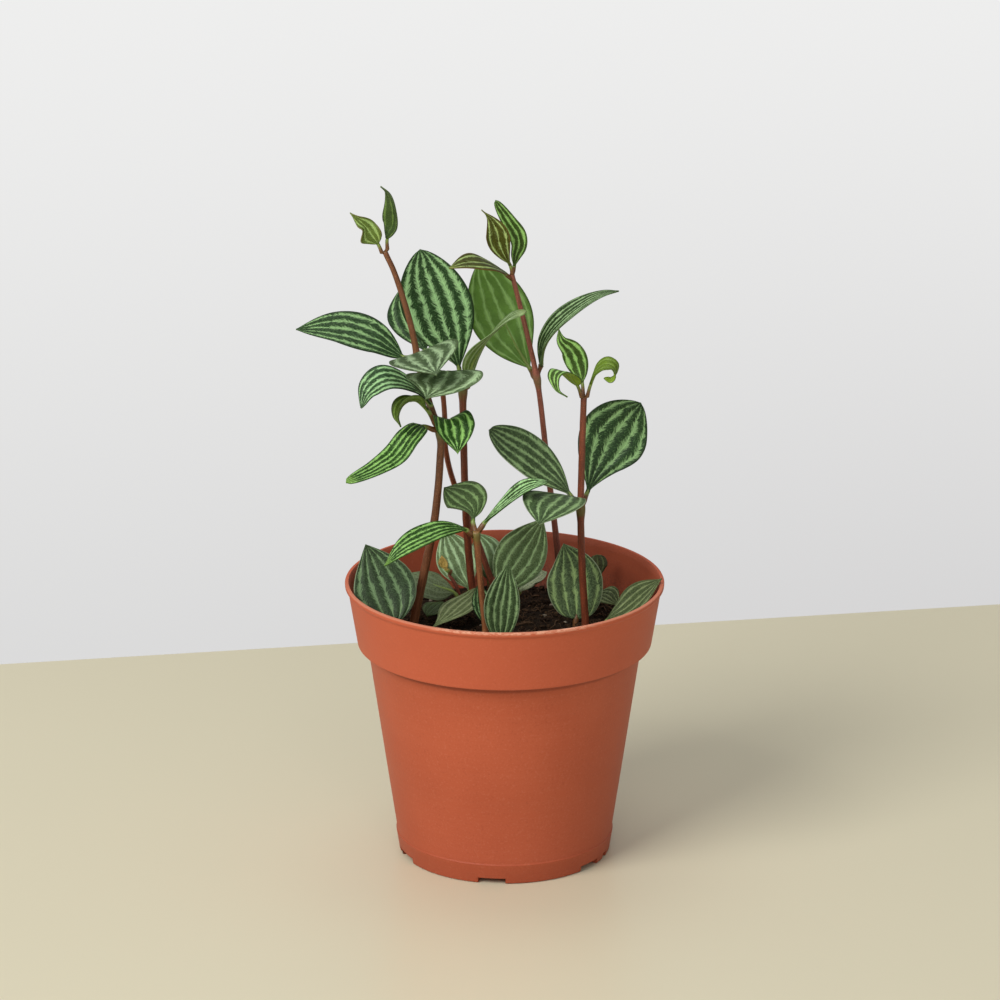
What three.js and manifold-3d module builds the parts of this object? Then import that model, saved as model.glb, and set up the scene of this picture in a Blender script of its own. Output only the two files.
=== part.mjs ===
// A potted peperomia: a plastic pot filled with soil, seven stems and their striped leaves.
// Millimetres, +Z up. The pot's axis is the Z axis and the pot stands on z = 0.
// -Y is the side that the plant is seen from, +X is its right hand.
import * as THREE from 'three';
import { mergeVertices } from 'three/addons/utils/BufferGeometryUtils.js';
import ManifoldModule from 'manifold-3d';

// Driving dimensions of the pot, all radii at their own height
const POT_HEIGHT = 96;
const POT_WALL = 1.2;
const BODY_FOOT_RADIUS = 35.8;
const BODY_TAPER = 0.1447;
const SKIRT_HEIGHT = 7;
const SKIRT_STEP = 0.35;
const COLLAR_FOOT_HEIGHT = 74.5;
const COLLAR_FOOT_RADIUS = 49.9;
const COLLAR_TOP_RADIUS = 53;
const LIP_RADIUS = 54;
const LIP_HEIGHT = 1.5;
const LIP_WIDTH = 1.5;
const LIP_EDGE = 0.4;
const LIP_STEP = 1;
const BASE_PLATE = 3.4;
const POT_SEGMENTS = 60;

// Foot notches: where each stands round the pot, measured from the front towards +X
const WIDE_NOTCH_TURNS = [-67, -7, 53, 113, 173, 233];
const WIDE_NOTCH_ANGLE = 15;
const NARROW_NOTCH_TURNS = [-77, 70];
const NARROW_NOTCH_ANGLE = 5;
const NOTCH_HEIGHT = 2;
const NOTCH_INNER_RADIUS = 23;
const DRAIN_HOLE_RADIUS = 2.6;
const DRAIN_HOLE_AT = 29;
const DRAIN_HOLE_SIDES = 16;
const CUT_PAST = 1;

// Soil
const SOIL_EDGE_HEIGHT = 77.4;
const SOIL_CROWN = 0.6;
const SOIL_REACH = 50;
const SOIL_SEGMENTS = 48;
const ROOT_DEPTH = 9;
const ROOT_RISE = 0.5;
const ROOT_HOLE_SIDES = 10;

// Gaps between neighbours that touch, and round what stands in the soil
const SEAT_GAP = 0.3;
const HOLE_CLEARANCE = 0.45;

// Stems and leaves
const STEM_SIDES = 8;
const STEM_STEPS = 16;
const JOINT_SWELL = 0.45;
const JOINT_SPREAD = 2.6;
const STALK_RADIUS = 0.75;
const BLADE_THICKNESS = 0.75;
const TIP_HALF_WIDTH = 0.35;
const FOOT_SHARPNESS = 0.98;
const TIP_SHARPNESS = 0.95;
const FOOT_BLEND = 0.18;
const FLATTEST_CUP = 0.01;
const STEEP_STALK = 0.8;
const END_JOINT_REACH = 2;
const SEARCH_STEP = 0.005;
const RIB_SAMPLES = 40;
const STALK_ROWS = 2;
const ROOTED_STALK_ROWS = 5;
const BLADE_ROWS = 9;
const BLADE_COLUMNS = 4;
const MERGE_DISTANCE = 1e-5;

// The stems from the soil upwards. Each joint is a height where leaves grow.
const STEMS = [
  {
    name: 'stem_1',
    foot: 1.55,
    top: 0.9,
    joints: [148, 173],
    path: [[-31, 2], [-26.5, 2, 101.5], [-23.5, 1, 118], [-21.7, 0, 138], [-21.6, 0, 148],
      [-24.7, 1, 156.5], [-28.1, 2, 169], [-31.5, 2, 186], [-36.6, 1, 203.5], [-39.6, 0, 210.7]],
  },
  {
    name: 'stem_2',
    foot: 1.3,
    top: 1.2,
    joints: [157],
    path: [[-10.2, 25], [-11.5, 25, 88], [-13, 23, 108], [-13.6, 21, 125], [-14.1, 18, 152],
      [-14.1, 18, 158.5]],
  },
  {
    name: 'stem_3',
    foot: 1.1,
    top: 0.85,
    joints: [165],
    path: [[-2.6, 31], [-6, 32, 89], [-11.7, 32, 106], [-17.3, 26, 122], [-20, 15, 138],
      [-20.2, 5, 154], [-21, 0, 166]],
  },
  {
    name: 'stem_4',
    foot: 1.15,
    top: 0.8,
    joints: [161],
    path: [[19.6, 27], [17.9, 27, 100], [15, 25, 125], [11.1, 20, 160], [7.2, 17, 179],
      [2.4, 12, 200]],
  },
  {
    name: 'stem_5',
    foot: 1.3,
    top: 1.05,
    joints: [121],
    path: [[27.5, 2], [26.3, 1, 98], [25.6, 0, 120.5], [25.8, 0, 135], [26.4, -2, 161]],
  },
  {
    name: 'stem_6',
    foot: 1.1,
    top: 1.05,
    joints: [117],
    path: [[-6.2, -10], [-8, -12, 98], [-9.6, -14, 117.5]],
  },
  {
    name: 'stem_7',
    foot: 0.7,
    top: 0.6,
    joints: [],
    path: [[-15.2, 30], [-17, 29, 84.5], [-19, 28, 88]],
  },
];

// The leaves. joint is the height on the stem where the stalk starts. face is where the upper
// side of the blade looks at mid-length, widest is where the blade is broadest from foot to tip,
// and cup is the angle that each half curls up by. foot and point make the blade's two ends
// blunter under 1 and finer above it. twist is the angle that the blade turns by about its rib,
// which runs from the foot of the blade to its tip.
const LEAVES = [
  {
    name: 'leaf_1_1', stem: 'stem_1', joint: 210, width: 7.2, widest: 0.34,
    cup: 0.6, point: 1.3,
    face: [-0.3, -0.8, 0.5],
    rib: [[-42, -1, 214], [-46.6, -2, 220.8], [-51, -3, 225]],
  },
  {
    name: 'leaf_1_2', stem: 'stem_1', joint: 210, width: 9, widest: 0.38, cup: 0.8,
    face: [-0.8, -0.6, 0.1],
    rib: [
      [-38.9, 0, 215.5], [-36.9, 0, 220], [-36.8, -1, 226], [-38.4, -1.7, 231.4],
      [-40.9, -2, 233.7],
    ],
  },
  {
    name: 'leaf_1_3', stem: 'stem_1', joint: 174, width: 16.5, widest: 0.48,
    cup: 0.25, foot: 0.75,
    face: [-0.1, -0.45, 0.86],
    rib: [[-34, 3, 173.7], [-43.3, 5, 179.3], [-55, 6, 182.6], [-69.6, 4, 183]],
  },
  {
    name: 'leaf_1_4', stem: 'stem_1', joint: 173, width: 16.4, widest: 0.58,
    cup: 0.3, foot: 0.8,
    face: [-0.1, -0.9, 0.4],
    rib: [[-26.8, 13.5, 172.7], [-30.7, 21, 181], [-34.8, 29, 190.6]],
  },
  {
    name: 'leaf_1_5', stem: 'stem_1', joint: 173, width: 24.5, widest: 0.5,
    cup: 0.3, point: 1.5,
    face: [-0.24, -0.15, 0.96],
    rib: [[-28.4, -3, 176.5], [-27.6, -11, 179], [-25, -20, 179], [-22.3, -29, 176.8]],
  },
  {
    name: 'leaf_1_6', stem: 'stem_1', joint: 149.5, width: 13.6, widest: 0.6,
    cup: 0.3, point: 0.75,
    face: [-0.35, -0.45, 0.8],
    rib: [
      [-24.6, -1.8, 158.5], [-31, -5, 166], [-39.5, -9, 169.5], [-45, -12, 166.5],
      [-47.6, -14, 161],
    ],
  },
  {
    name: 'leaf_1_7', stem: 'stem_1', joint: 149, width: 8.8, widest: 0.55, cup: 1.1,
    face: [-0.7, -0.1, 0.7],
    rib: [
      [-25.8, -5.5, 158], [-30, -9, 162.3], [-34, -11, 161], [-35.5, -12, 157.5],
      [-34.5, -12.5, 154],
    ],
  },
  {
    name: 'leaf_1_8', stem: 'stem_1', joint: 149, width: 11.8, widest: 0.3,
    cup: 0.3, point: 0.4, foot: 0.5,
    face: [-0.45, -0.45, 0.77],
    rib: [
      [-27.5, -3, 151.3], [-31.5, -7, 148.7], [-36, -10.5, 143.5], [-42.5, -14, 140],
      [-52.7, -18, 136.4],
    ],
  },
  {
    name: 'leaf_1_9', stem: 'stem_1', joint: 149, width: 15.6, widest: 0.3,
    cup: 0.95, foot: 0.3, point: 1.2,
    face: [0.1, -0.45, 0.87],
    rib: [[-18, -8.5, 154.9], [-16.5, -13, 151.1], [-15.5, -18, 146.4]],
  },
  {
    name: 'leaf_2_1', stem: 'stem_2', joint: 158, width: 24.4, widest: 0.56,
    cup: 0.25, foot: 0.85, point: 0.68,
    face: [-0.15, -0.95, 0.25],
    rib: [[-15.4, 17.2, 165.6], [-18.4, 13.6, 176.4], [-23.4, 9.6, 193], [-28.1, 6, 210]],
  },
  {
    name: 'leaf_2_2', stem: 'stem_2', joint: 158, width: 9, widest: 0.34,
    cup: 0.5, twist: 0.9, point: 0.35,
    face: [-0.5, 0.2, 0.8],
    rib: [
      [-12.2, 17, 162.1], [-11, 15, 168], [-7.9, 12.3, 174.3], [-2.6, 9, 181.2],
      [2.4, 7, 186.4], [7.3, 6, 188.6],
    ],
  },
  {
    name: 'leaf_3_1', stem: 'stem_3', joint: 165, width: 27, widest: 0.48,
    cup: 0.25, point: 1.4,
    face: [-0.12, -0.2, 0.97],
    rib: [[-20, -3, 170], [-18.8, -9, 171.2], [-21.3, -18, 170], [-26, -26, 167.8]],
  },
  {
    name: 'leaf_4_1', stem: 'stem_4', joint: 161, width: 21.5, widest: 0.5,
    cup: 0.2, point: 0.68,
    face: [-0.35, 0.9, 0.3],
    rib: [[8.5, 24, 163.5], [3.6, 27, 171], [-1.8, 29, 182.5], [-8.3, 27, 200]],
  },
  {
    name: 'leaf_4_2', stem: 'stem_4', joint: 161, width: 9.2, widest: 0.38,
    cup: 0.8, foot: 0.6, point: 0.8,
    face: [-0.4, -0.45, 0.8],
    rib: [
      [12.3, 20, 165.5], [13.3, 18.8, 172.9], [16.7, 17, 179.5], [22.4, 15.5, 185.5],
      [28.9, 14, 190.5], [33.6, 13, 192.9], [38.2, 12, 194],
    ],
  },
  {
    name: 'leaf_4_3', stem: 'stem_4', joint: 197.5, width: 11.5, widest: 0.45,
    cup: 0.2, foot: 0.85,
    face: [-0.1, -0.42, 1],
    rib: [
      [0.3, 11.2, 200.2], [-3.2, 8, 203.1], [-7.9, 4, 205.8], [-13.2, 0, 206.9],
      [-18.4, -3, 206],
    ],
  },
  {
    name: 'leaf_4_4', stem: 'stem_4', joint: 199.5, width: 8.2, widest: 0.48,
    cup: 0.4, foot: 1.2, point: 1.9,
    face: [-0.1, -0.95, 0.2],
    rib: [
      [1.8, 10.2, 203.5], [-0.1, 9.7, 207.1], [-1.7, 9.1, 211.1], [-2.6, 8, 215.8],
      [-4.9, 7, 220.6], [-7.7, 6, 223.6],
    ],
  },
  {
    name: 'leaf_4_5', stem: 'stem_4', joint: 199.5, width: 6.2, widest: 0.45,
    cup: 0.4, foot: 0.9, point: 0.45,
    face: [-0.4, -0.8, 0.2],
    rib: [
      [3.2, 14.2, 202.1], [3.8, 14, 205.6], [4.9, 13.6, 209.5], [4.4, 13.3, 213.4],
      [1.6, 13, 217.9], [-3.1, 12, 225.3],
    ],
  },
  {
    name: 'leaf_5_1', stem: 'stem_5', joint: 160.5, width: 8.1, widest: 0.42,
    cup: 0.3, point: 1.4,
    face: [-0.2, -0.9, 0.3],
    rib: [
      [25.9, 0.7, 165.5], [24.7, 2, 170.5], [22.2, 2, 176.5], [18.9, 1.5, 180],
      [17.9, 1, 184.7],
    ],
  },
  {
    name: 'leaf_5_2', stem: 'stem_5', joint: 160.5, width: 8.5, widest: 0.3,
    cup: 0.2, point: 1.4,
    face: [-0.2, -0.3, 0.9],
    rib: [
      [24.2, -5, 166.3], [21.2, -7.5, 170.3], [18, -10.5, 172.6], [16.5, -13, 171.5],
      [17.6, -14.5, 167.4], [20.8, -14.5, 165],
    ],
  },
  {
    name: 'leaf_5_3', stem: 'stem_5', joint: 160.5, width: 7.6, widest: 0.4,
    cup: 0.25, point: 0.6,
    face: [0.2, -0.4, 0.9],
    rib: [
      [28.6, -2.8, 166], [30.6, -3.4, 170.6], [33.7, -4, 173.2], [36.2, -4.8, 172.4],
      [36.5, -5.6, 170], [35.2, -6.2, 168.6], [33, -6.5, 169.2],
    ],
  },
  {
    name: 'leaf_5_4', stem: 'stem_5', joint: 121, width: 23.2, widest: 0.58,
    cup: 0.2, foot: 0.98, point: 0.7,
    face: [0.1, -0.95, 0.3],
    rib: [[27.8, 3.5, 125.8], [32.2, 7, 136.8], [39, 9, 147.6], [45.8, 9, 155.8]],
  },
  {
    name: 'leaf_5_5', stem: 'stem_5', joint: 121, width: 16.6, widest: 0.52,
    cup: 0.2, point: 0.55,
    face: [0.2, -0.6, 0.75],
    rib: [[22.1, 2, 125.6], [15.1, 4, 132.6], [6.6, 4, 139.8], [-0.7, 3, 145], [-5.2, 2, 148.5]],
  },
  {
    name: 'leaf_5_6', stem: 'stem_5', joint: 121, width: 22, widest: 0.5, cup: 0.3, point: 1.1,
    face: [0, -0.1, 1],
    rib: [[22.5, -5, 126.8], [18.7, -12, 129], [15.4, -19.5, 128.5], [11.3, -29, 125.4]],
  },
  {
    name: 'leaf_6_1', stem: 'stem_6', joint: 117, width: 12, widest: 0.52, cup: 0.3, point: 0.7,
    face: [-0.5, -0.1, 0.85],
    rib: [[-6.8, -13, 120.8], [-0.4, -13, 127], [7.4, -13.5, 133.3], [14.8, -14, 135.5]],
  },
  {
    name: 'leaf_6_2', stem: 'stem_6', joint: 115.6, width: 13, widest: 0.47,
    cup: 0.3, foot: 0.85,
    face: [-0.15, -0.25, 0.95],
    rib: [
      [-12.8, -15, 118.9], [-19, -17, 119.8], [-28, -20, 117.4], [-35, -21.5, 113.6],
      [-40, -22, 108.5],
    ],
  },
  {
    name: 'leaf_6_3', stem: 'stem_6', joint: 117, width: 16, widest: 0.6, cup: 0.3,
    face: [0.15, -0.6, 0.8],
    rib: [[-10.6, -12, 121], [-10.5, -8, 123.4], [-12.7, -3, 125.2], [-20.4, 2.2, 128]],
  },
  {
    name: 'leaf_7_1', stem: 'stem_7', joint: 87.5, width: 3.6, widest: 0.5, cup: 0.9,
    face: [-0.3, -0.9, 0.2],
    rib: [[-19.8, 27.7, 90], [-21, 27.5, 93], [-21.6, 27, 95.4]],
  },
];

// The leaves that grow from the soil, each with the spot where its stalk comes up
const LOW_LEAVES = [
  {
    name: 'low_leaf_01', root: [-36, -11], width: 21.5, widest: 0.42, cup: 0.25, foot: 0.8,
    face: [0.1, -0.9, 0.4],
    rib: [[-37, -10, 84], [-40.2, -6, 94], [-43.7, -3, 102.3], [-46.9, -1, 109]],
  },
  {
    name: 'low_leaf_02', root: [-11.5, 28.5], width: 14.5, widest: 0.5, cup: 0.2,
    face: [-0.1, -0.95, 0.3],
    rib: [[-12, 29, 82.5], [-14.7, 32, 88.5], [-18.1, 35, 95.5], [-20.9, 37, 101.4]],
  },
  {
    name: 'low_leaf_03', root: [-14.5, 20], width: 14, widest: 0.5, cup: 0.2,
    face: [0, 0.35, -0.93],
    rib: [[-17, 20, 84], [-23, 19, 87], [-29, 21, 89], [-33.5, 24, 90]],
  },
  {
    name: 'low_leaf_04', root: [-2.5, 17], width: 12.4, widest: 0.44, cup: 0.2, point: 1.2,
    face: [-0.3, -0.4, 0.85],
    rib: [
      [-8.7, 15.6, 87.3], [-11.6, 11, 85.7], [-15.5, 5, 84.2], [-19.5, -2, 83.2],
      [-24.2, -8, 81.9],
    ],
  },
  {
    name: 'low_leaf_05', root: [-22, 8], width: 9, widest: 0.5, cup: 0.2,
    face: [-0.2, -0.4, 0.85],
    rib: [[-21, 13, 83.1], [-23.9, 9, 82.4], [-26.4, 5, 81.3]],
  },
  {
    name: 'low_leaf_06', root: [-5.2, 36], width: 13, widest: 0.5, cup: 0.2,
    face: [0.1, -0.95, 0.3],
    rib: [[-5.3, 37, 83], [-5.6, 38, 88.3], [-7.1, 40, 94], [-9.5, 42, 98.6]],
  },
  {
    name: 'low_leaf_07', root: [-2, 23], width: 17.5, widest: 0.5, cup: 0.2, foot: 0.85,
    face: [0, -0.9, 0.4],
    rib: [[-1.1, 22.5, 83.5], [2.4, 20, 92.5], [7.9, 18, 102.2], [13.1, 16, 112.4]],
  },
  {
    name: 'low_leaf_08', root: [-1.5, -15], width: 12.2, widest: 0.46, cup: 0.3, foot: 0.6,
    face: [0, -0.95, 0.25],
    rib: [[-1.5, -15.5, 80], [-0.8, -17, 94], [1.2, -18, 108]],
  },
  {
    name: 'low_leaf_09', root: [-7, -4], width: 7, widest: 0.5, cup: 0.3,
    face: [-0.3, -0.9, 0.3],
    rib: [[-7, -3.5, 81.5], [-7.6, -2, 88], [-8.8, 0, 95]],
  },
  {
    name: 'low_leaf_10', root: [3.6, 26], width: 12, widest: 0.5, cup: 1,
    face: [0, -0.2, 1],
    rib: [[5.3, 25, 83.3], [8.8, 27.5, 85.3], [11.9, 28.5, 87.2], [14.6, 29, 88.8]],
  },
  {
    name: 'low_leaf_11', root: [24.2, 6.5], width: 19.3, widest: 0.47, cup: 0.25, foot: 0.38,
    face: [0, -0.9, 0.35],
    rib: [[24.4, 6.8, 79.8], [24.2, 8, 88], [22.9, 8.5, 98], [20, 8, 106.2]],
  },
  {
    name: 'low_leaf_12', root: [29.6, 26.5], width: 7, widest: 0.62, cup: 0.6, point: 0.35,
    face: [0, -0.9, 0.3],
    rib: [[32.4, 25, 88], [32.1, 26, 92], [31.7, 27, 95.7]],
  },
  {
    name: 'low_leaf_13', root: [26.8, 19], width: 9, widest: 0.5, cup: 0.3,
    face: [0, -0.4, 0.9],
    rib: [[30.8, 18.3, 83.4], [34.7, 16, 84.9], [38.7, 13, 82.5]],
  },
  {
    name: 'low_leaf_14', root: [33, 1], width: 13, widest: 0.5, cup: 0.25, point: 1.2,
    face: [-0.4, -0.5, 0.75],
    rib: [[34.5, 0.5, 81], [40.5, -1, 85.6], [47.4, -3, 92.6], [53, -4.7, 98.1]],
  },
];

const PAINT = {
  pot: { color: 0xb9603f, roughness: 0.6 },
  soil: { color: 0x2b1c14, roughness: 1 },
  stem: { color: 0x7a3b2b, roughness: 0.55 },
  leaf: { color: 0x3f6b45, roughness: 0.45 },
};

const wasm = await ManifoldModule();
wasm.setup();

const bodyRadius = (height) => BODY_FOOT_RADIUS + BODY_TAPER * height;
const soilHeight = (radius) => (
  SOIL_EDGE_HEIGHT + SOIL_CROWN * Math.cos(Math.PI / 2 * radius / SOIL_REACH)
);

function toSolid(geometry) {
  const bare = geometry.clone();
  bare.deleteAttribute('normal');
  bare.deleteAttribute('uv');
  const merged = mergeVertices(bare, MERGE_DISTANCE);
  return new wasm.Manifold(new wasm.Mesh({
    numProp: 3,
    vertProperties: new Float32Array(merged.attributes.position.array),
    triVerts: new Uint32Array(merged.index.array),
  }));
}

function toGeometry(solid) {
  const mesh = solid.getMesh();
  const geometry = new THREE.BufferGeometry();
  geometry.setAttribute('position', new THREE.BufferAttribute(mesh.vertProperties, 3));
  geometry.setIndex(new THREE.BufferAttribute(mesh.triVerts, 1));
  geometry.computeVertexNormals();
  return geometry;
}

// A profile of [radius, height] points turned round the Z axis
function turned(profile, segments) {
  const points = profile.map(([radius, height]) => new THREE.Vector2(radius, height));
  return new THREE.LatheGeometry(points, segments).rotateX(Math.PI / 2);
}

function upright(radius, bottom, top, sides) {
  const cylinder = new THREE.CylinderGeometry(radius, radius, top - bottom, sides);
  return cylinder.rotateX(Math.PI / 2).translate(0, 0, (top + bottom) / 2);
}

// A wedge of the foot ring between two radii, centred on the front and then turned
function footWedge(angle, turn) {
  const half = THREE.MathUtils.degToRad(angle) / 2;
  const front = -Math.PI / 2 + THREE.MathUtils.degToRad(turn);
  const outer = BODY_FOOT_RADIUS + SKIRT_STEP + CUT_PAST;
  const outline = new THREE.Shape();
  outline.absarc(0, 0, outer, front - half, front + half, false);
  outline.absarc(0, 0, NOTCH_INNER_RADIUS, front + half, front - half, true);
  const wedge = new THREE.ExtrudeGeometry(outline, {
    depth: NOTCH_HEIGHT + CUT_PAST,
    bevelEnabled: false,
    curveSegments: 4,
  });
  return wedge.translate(0, 0, -CUT_PAST);
}

function makePot() {
  const skirtTop = bodyRadius(SKIRT_HEIGHT) + SKIRT_STEP;
  const inside = (height) => bodyRadius(height) - POT_WALL;
  const shoulder = COLLAR_FOOT_HEIGHT + POT_WALL;
  const lipFoot = POT_HEIGHT - LIP_HEIGHT;
  const rimInside = LIP_RADIUS - LIP_WIDTH;
  let pot = toSolid(turned([
    [0, 0],
    [bodyRadius(0) + SKIRT_STEP, 0],
    [skirtTop, SKIRT_HEIGHT],
    [bodyRadius(SKIRT_HEIGHT), SKIRT_HEIGHT + SKIRT_STEP],
    [bodyRadius(COLLAR_FOOT_HEIGHT), COLLAR_FOOT_HEIGHT],
    [COLLAR_FOOT_RADIUS, COLLAR_FOOT_HEIGHT],
    [COLLAR_TOP_RADIUS, lipFoot - LIP_EDGE],
    [LIP_RADIUS, lipFoot],
    [LIP_RADIUS, POT_HEIGHT - LIP_EDGE],
    [LIP_RADIUS - LIP_EDGE, POT_HEIGHT],
    [rimInside, POT_HEIGHT],
    [COLLAR_TOP_RADIUS - POT_WALL, lipFoot - LIP_STEP],
    [COLLAR_FOOT_RADIUS - POT_WALL, shoulder],
    [inside(shoulder), shoulder],
    [inside(BASE_PLATE), BASE_PLATE],
    [0, BASE_PLATE],
  ], POT_SEGMENTS));
  for (const turn of WIDE_NOTCH_TURNS) {
    pot = pot.subtract(toSolid(footWedge(WIDE_NOTCH_ANGLE, turn)));
    const angle = -Math.PI / 2 + THREE.MathUtils.degToRad(turn);
    const drain = upright(DRAIN_HOLE_RADIUS, -CUT_PAST, BASE_PLATE + CUT_PAST, DRAIN_HOLE_SIDES);
    drain.translate(DRAIN_HOLE_AT * Math.cos(angle), DRAIN_HOLE_AT * Math.sin(angle), 0);
    pot = pot.subtract(toSolid(drain));
  }
  for (const turn of NARROW_NOTCH_TURNS) {
    pot = pot.subtract(toSolid(footWedge(NARROW_NOTCH_ANGLE, turn)));
  }
  return toGeometry(pot);
}

// The soil fills the pot from its floor, with a plain hole for each stem and stalk
function makeSoil(holes) {
  const inside = (height) => bodyRadius(height) - POT_WALL - SEAT_GAP;
  const shoulder = COLLAR_FOOT_HEIGHT + POT_WALL + SEAT_GAP;
  const floor = BASE_PLATE + SEAT_GAP;
  const edge = COLLAR_FOOT_RADIUS - POT_WALL - SEAT_GAP;
  const surface = [1, 0.75, 0.5, 0.25].map((share) => [edge * share, soilHeight(edge * share)]);
  let soil = toSolid(turned([
    [0, floor],
    [inside(floor), floor],
    [inside(shoulder), shoulder],
    [edge, shoulder],
    ...surface,
    [0, soilHeight(0)],
  ], SOIL_SEGMENTS));
  for (const hole of holes) {
    const radius = hole.radius + HOLE_CLEARANCE;
    const top = SOIL_EDGE_HEIGHT + SOIL_CROWN + CUT_PAST;
    const drill = upright(radius, hole.bottom - SEAT_GAP, top, ROOT_HOLE_SIDES);
    soil = soil.subtract(toSolid(drill.translate(hole.x, hole.y, 0)));
  }
  return toGeometry(soil);
}

const toVectors = (points) => points.map((point) => new THREE.Vector3(...point));
const smoothCurve = (points) => new THREE.CatmullRomCurve3(points, false, 'centripetal');

// Where something that stands in the soil starts, and where it leaves the soil upright
function rootPoints([x, y]) {
  const surface = soilHeight(Math.hypot(x, y));
  const heights = [surface - ROOT_DEPTH, surface - ROOT_DEPTH / 2, surface + ROOT_RISE];
  return heights.map((height) => [x, y, height]);
}

function stemCurve(stem) {
  const [root, ...rest] = stem.path;
  return smoothCurve(toVectors([...rootPoints(root), ...rest]));
}

// The radius of a stem at a height: a taper from foot to top that swells at each joint
function stemRadius(stem, height) {
  const topHeight = stem.path.at(-1)[2];
  const share = (height - SOIL_EDGE_HEIGHT) / (topHeight - SOIL_EDGE_HEIGHT);
  const plain = THREE.MathUtils.lerp(stem.foot, stem.top, THREE.MathUtils.clamp(share, 0, 1));
  const swell = stem.joints.map((joint) => Math.exp(-(((height - joint) / JOINT_SPREAD) ** 2)));
  return plain + JOINT_SWELL * Math.max(0, ...swell);
}

// A cylinder bent along the stem's curve, ring by ring
function makeStem(stem) {
  const curve = stemCurve(stem);
  const frames = curve.computeFrenetFrames(STEM_STEPS, false);
  const tube = mergeVertices(bareCylinder(STEM_SIDES, STEM_STEPS), MERGE_DISTANCE);
  const position = tube.attributes.position;
  for (let index = 0; index < position.count; index += 1) {
    const step = Math.round((position.getY(index) + 0.5) * STEM_STEPS);
    const centre = curve.getPointAt(step / STEM_STEPS);
    const radius = stemRadius(stem, centre.z);
    centre.addScaledVector(frames.normals[step], radius * position.getX(index));
    centre.addScaledVector(frames.binormals[step], -radius * position.getZ(index));
    position.setXYZ(index, centre.x, centre.y, centre.z);
  }
  tube.computeVertexNormals();
  return facingOut(tube);
}

function bareCylinder(sides, steps) {
  const cylinder = new THREE.CylinderGeometry(1, 1, 1, sides, steps);
  cylinder.deleteAttribute('normal');
  cylinder.deleteAttribute('uv');
  return cylinder;
}

function signedVolume(geometry) {
  const position = geometry.attributes.position;
  const index = geometry.index.array;
  const [a, b, c] = [new THREE.Vector3(), new THREE.Vector3(), new THREE.Vector3()];
  let volume = 0;
  for (let corner = 0; corner < index.length; corner += 3) {
    a.fromBufferAttribute(position, index[corner]);
    b.fromBufferAttribute(position, index[corner + 1]);
    c.fromBufferAttribute(position, index[corner + 2]);
    volume += a.dot(b.cross(c)) / 6;
  }
  return volume;
}

function facingOut(geometry) {
  if (signedVolume(geometry) < 0) {
    const index = geometry.index.array;
    for (let corner = 0; corner < index.length; corner += 3) {
      [index[corner + 1], index[corner + 2]] = [index[corner + 2], index[corner + 1]];
    }
    geometry.computeVertexNormals();
  }
  return geometry;
}

// Where a stalk leaves its stem: just clear of the stem's skin, on the way to the blade.
// A stalk that goes on nearly as the stem does starts over the stem's end, beside its axis.
function stalkStart(stem, joint, foot) {
  const curve = stemCurve(stem);
  let share = 1;
  while (share > 0 && curve.getPointAt(share).z > joint) {
    share -= SEARCH_STEP;
  }
  const axisPoint = curve.getPointAt(Math.max(share, 0));
  const along = curve.getTangentAt(Math.max(share, 0));
  const direction = foot.clone().sub(axisPoint).normalize();
  const cosine = Math.abs(direction.dot(along));
  const sine = Math.sqrt(1 - cosine * cosine);
  const nearEnd = stem.path.at(-1)[2] - joint < END_JOINT_REACH;
  if (nearEnd && cosine > STEEP_STALK) {
    const end = curve.getPointAt(1);
    const beside = foot.clone().sub(end);
    beside.addScaledVector(along, -beside.dot(along)).normalize();
    end.addScaledVector(along, SEAT_GAP + STALK_RADIUS * sine);
    return end.addScaledVector(beside, STALK_RADIUS + SEAT_GAP);
  }
  const clear = stemRadius(stem, joint) + SEAT_GAP + STALK_RADIUS * cosine;
  return axisPoint.addScaledVector(direction, clear / sine);
}

// Half the width of a blade at a share of the way from its foot to its tip
function bladeHalfWidth(leaf, share) {
  const power = Math.log(0.5) / Math.log(leaf.widest);
  const sharpness = share < leaf.widest
    ? leaf.foot ?? FOOT_SHARPNESS
    : leaf.point ?? TIP_SHARPNESS;
  return leaf.width / 2 * Math.max(Math.sin(Math.PI * share ** power), 0) ** sharpness;
}

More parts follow.
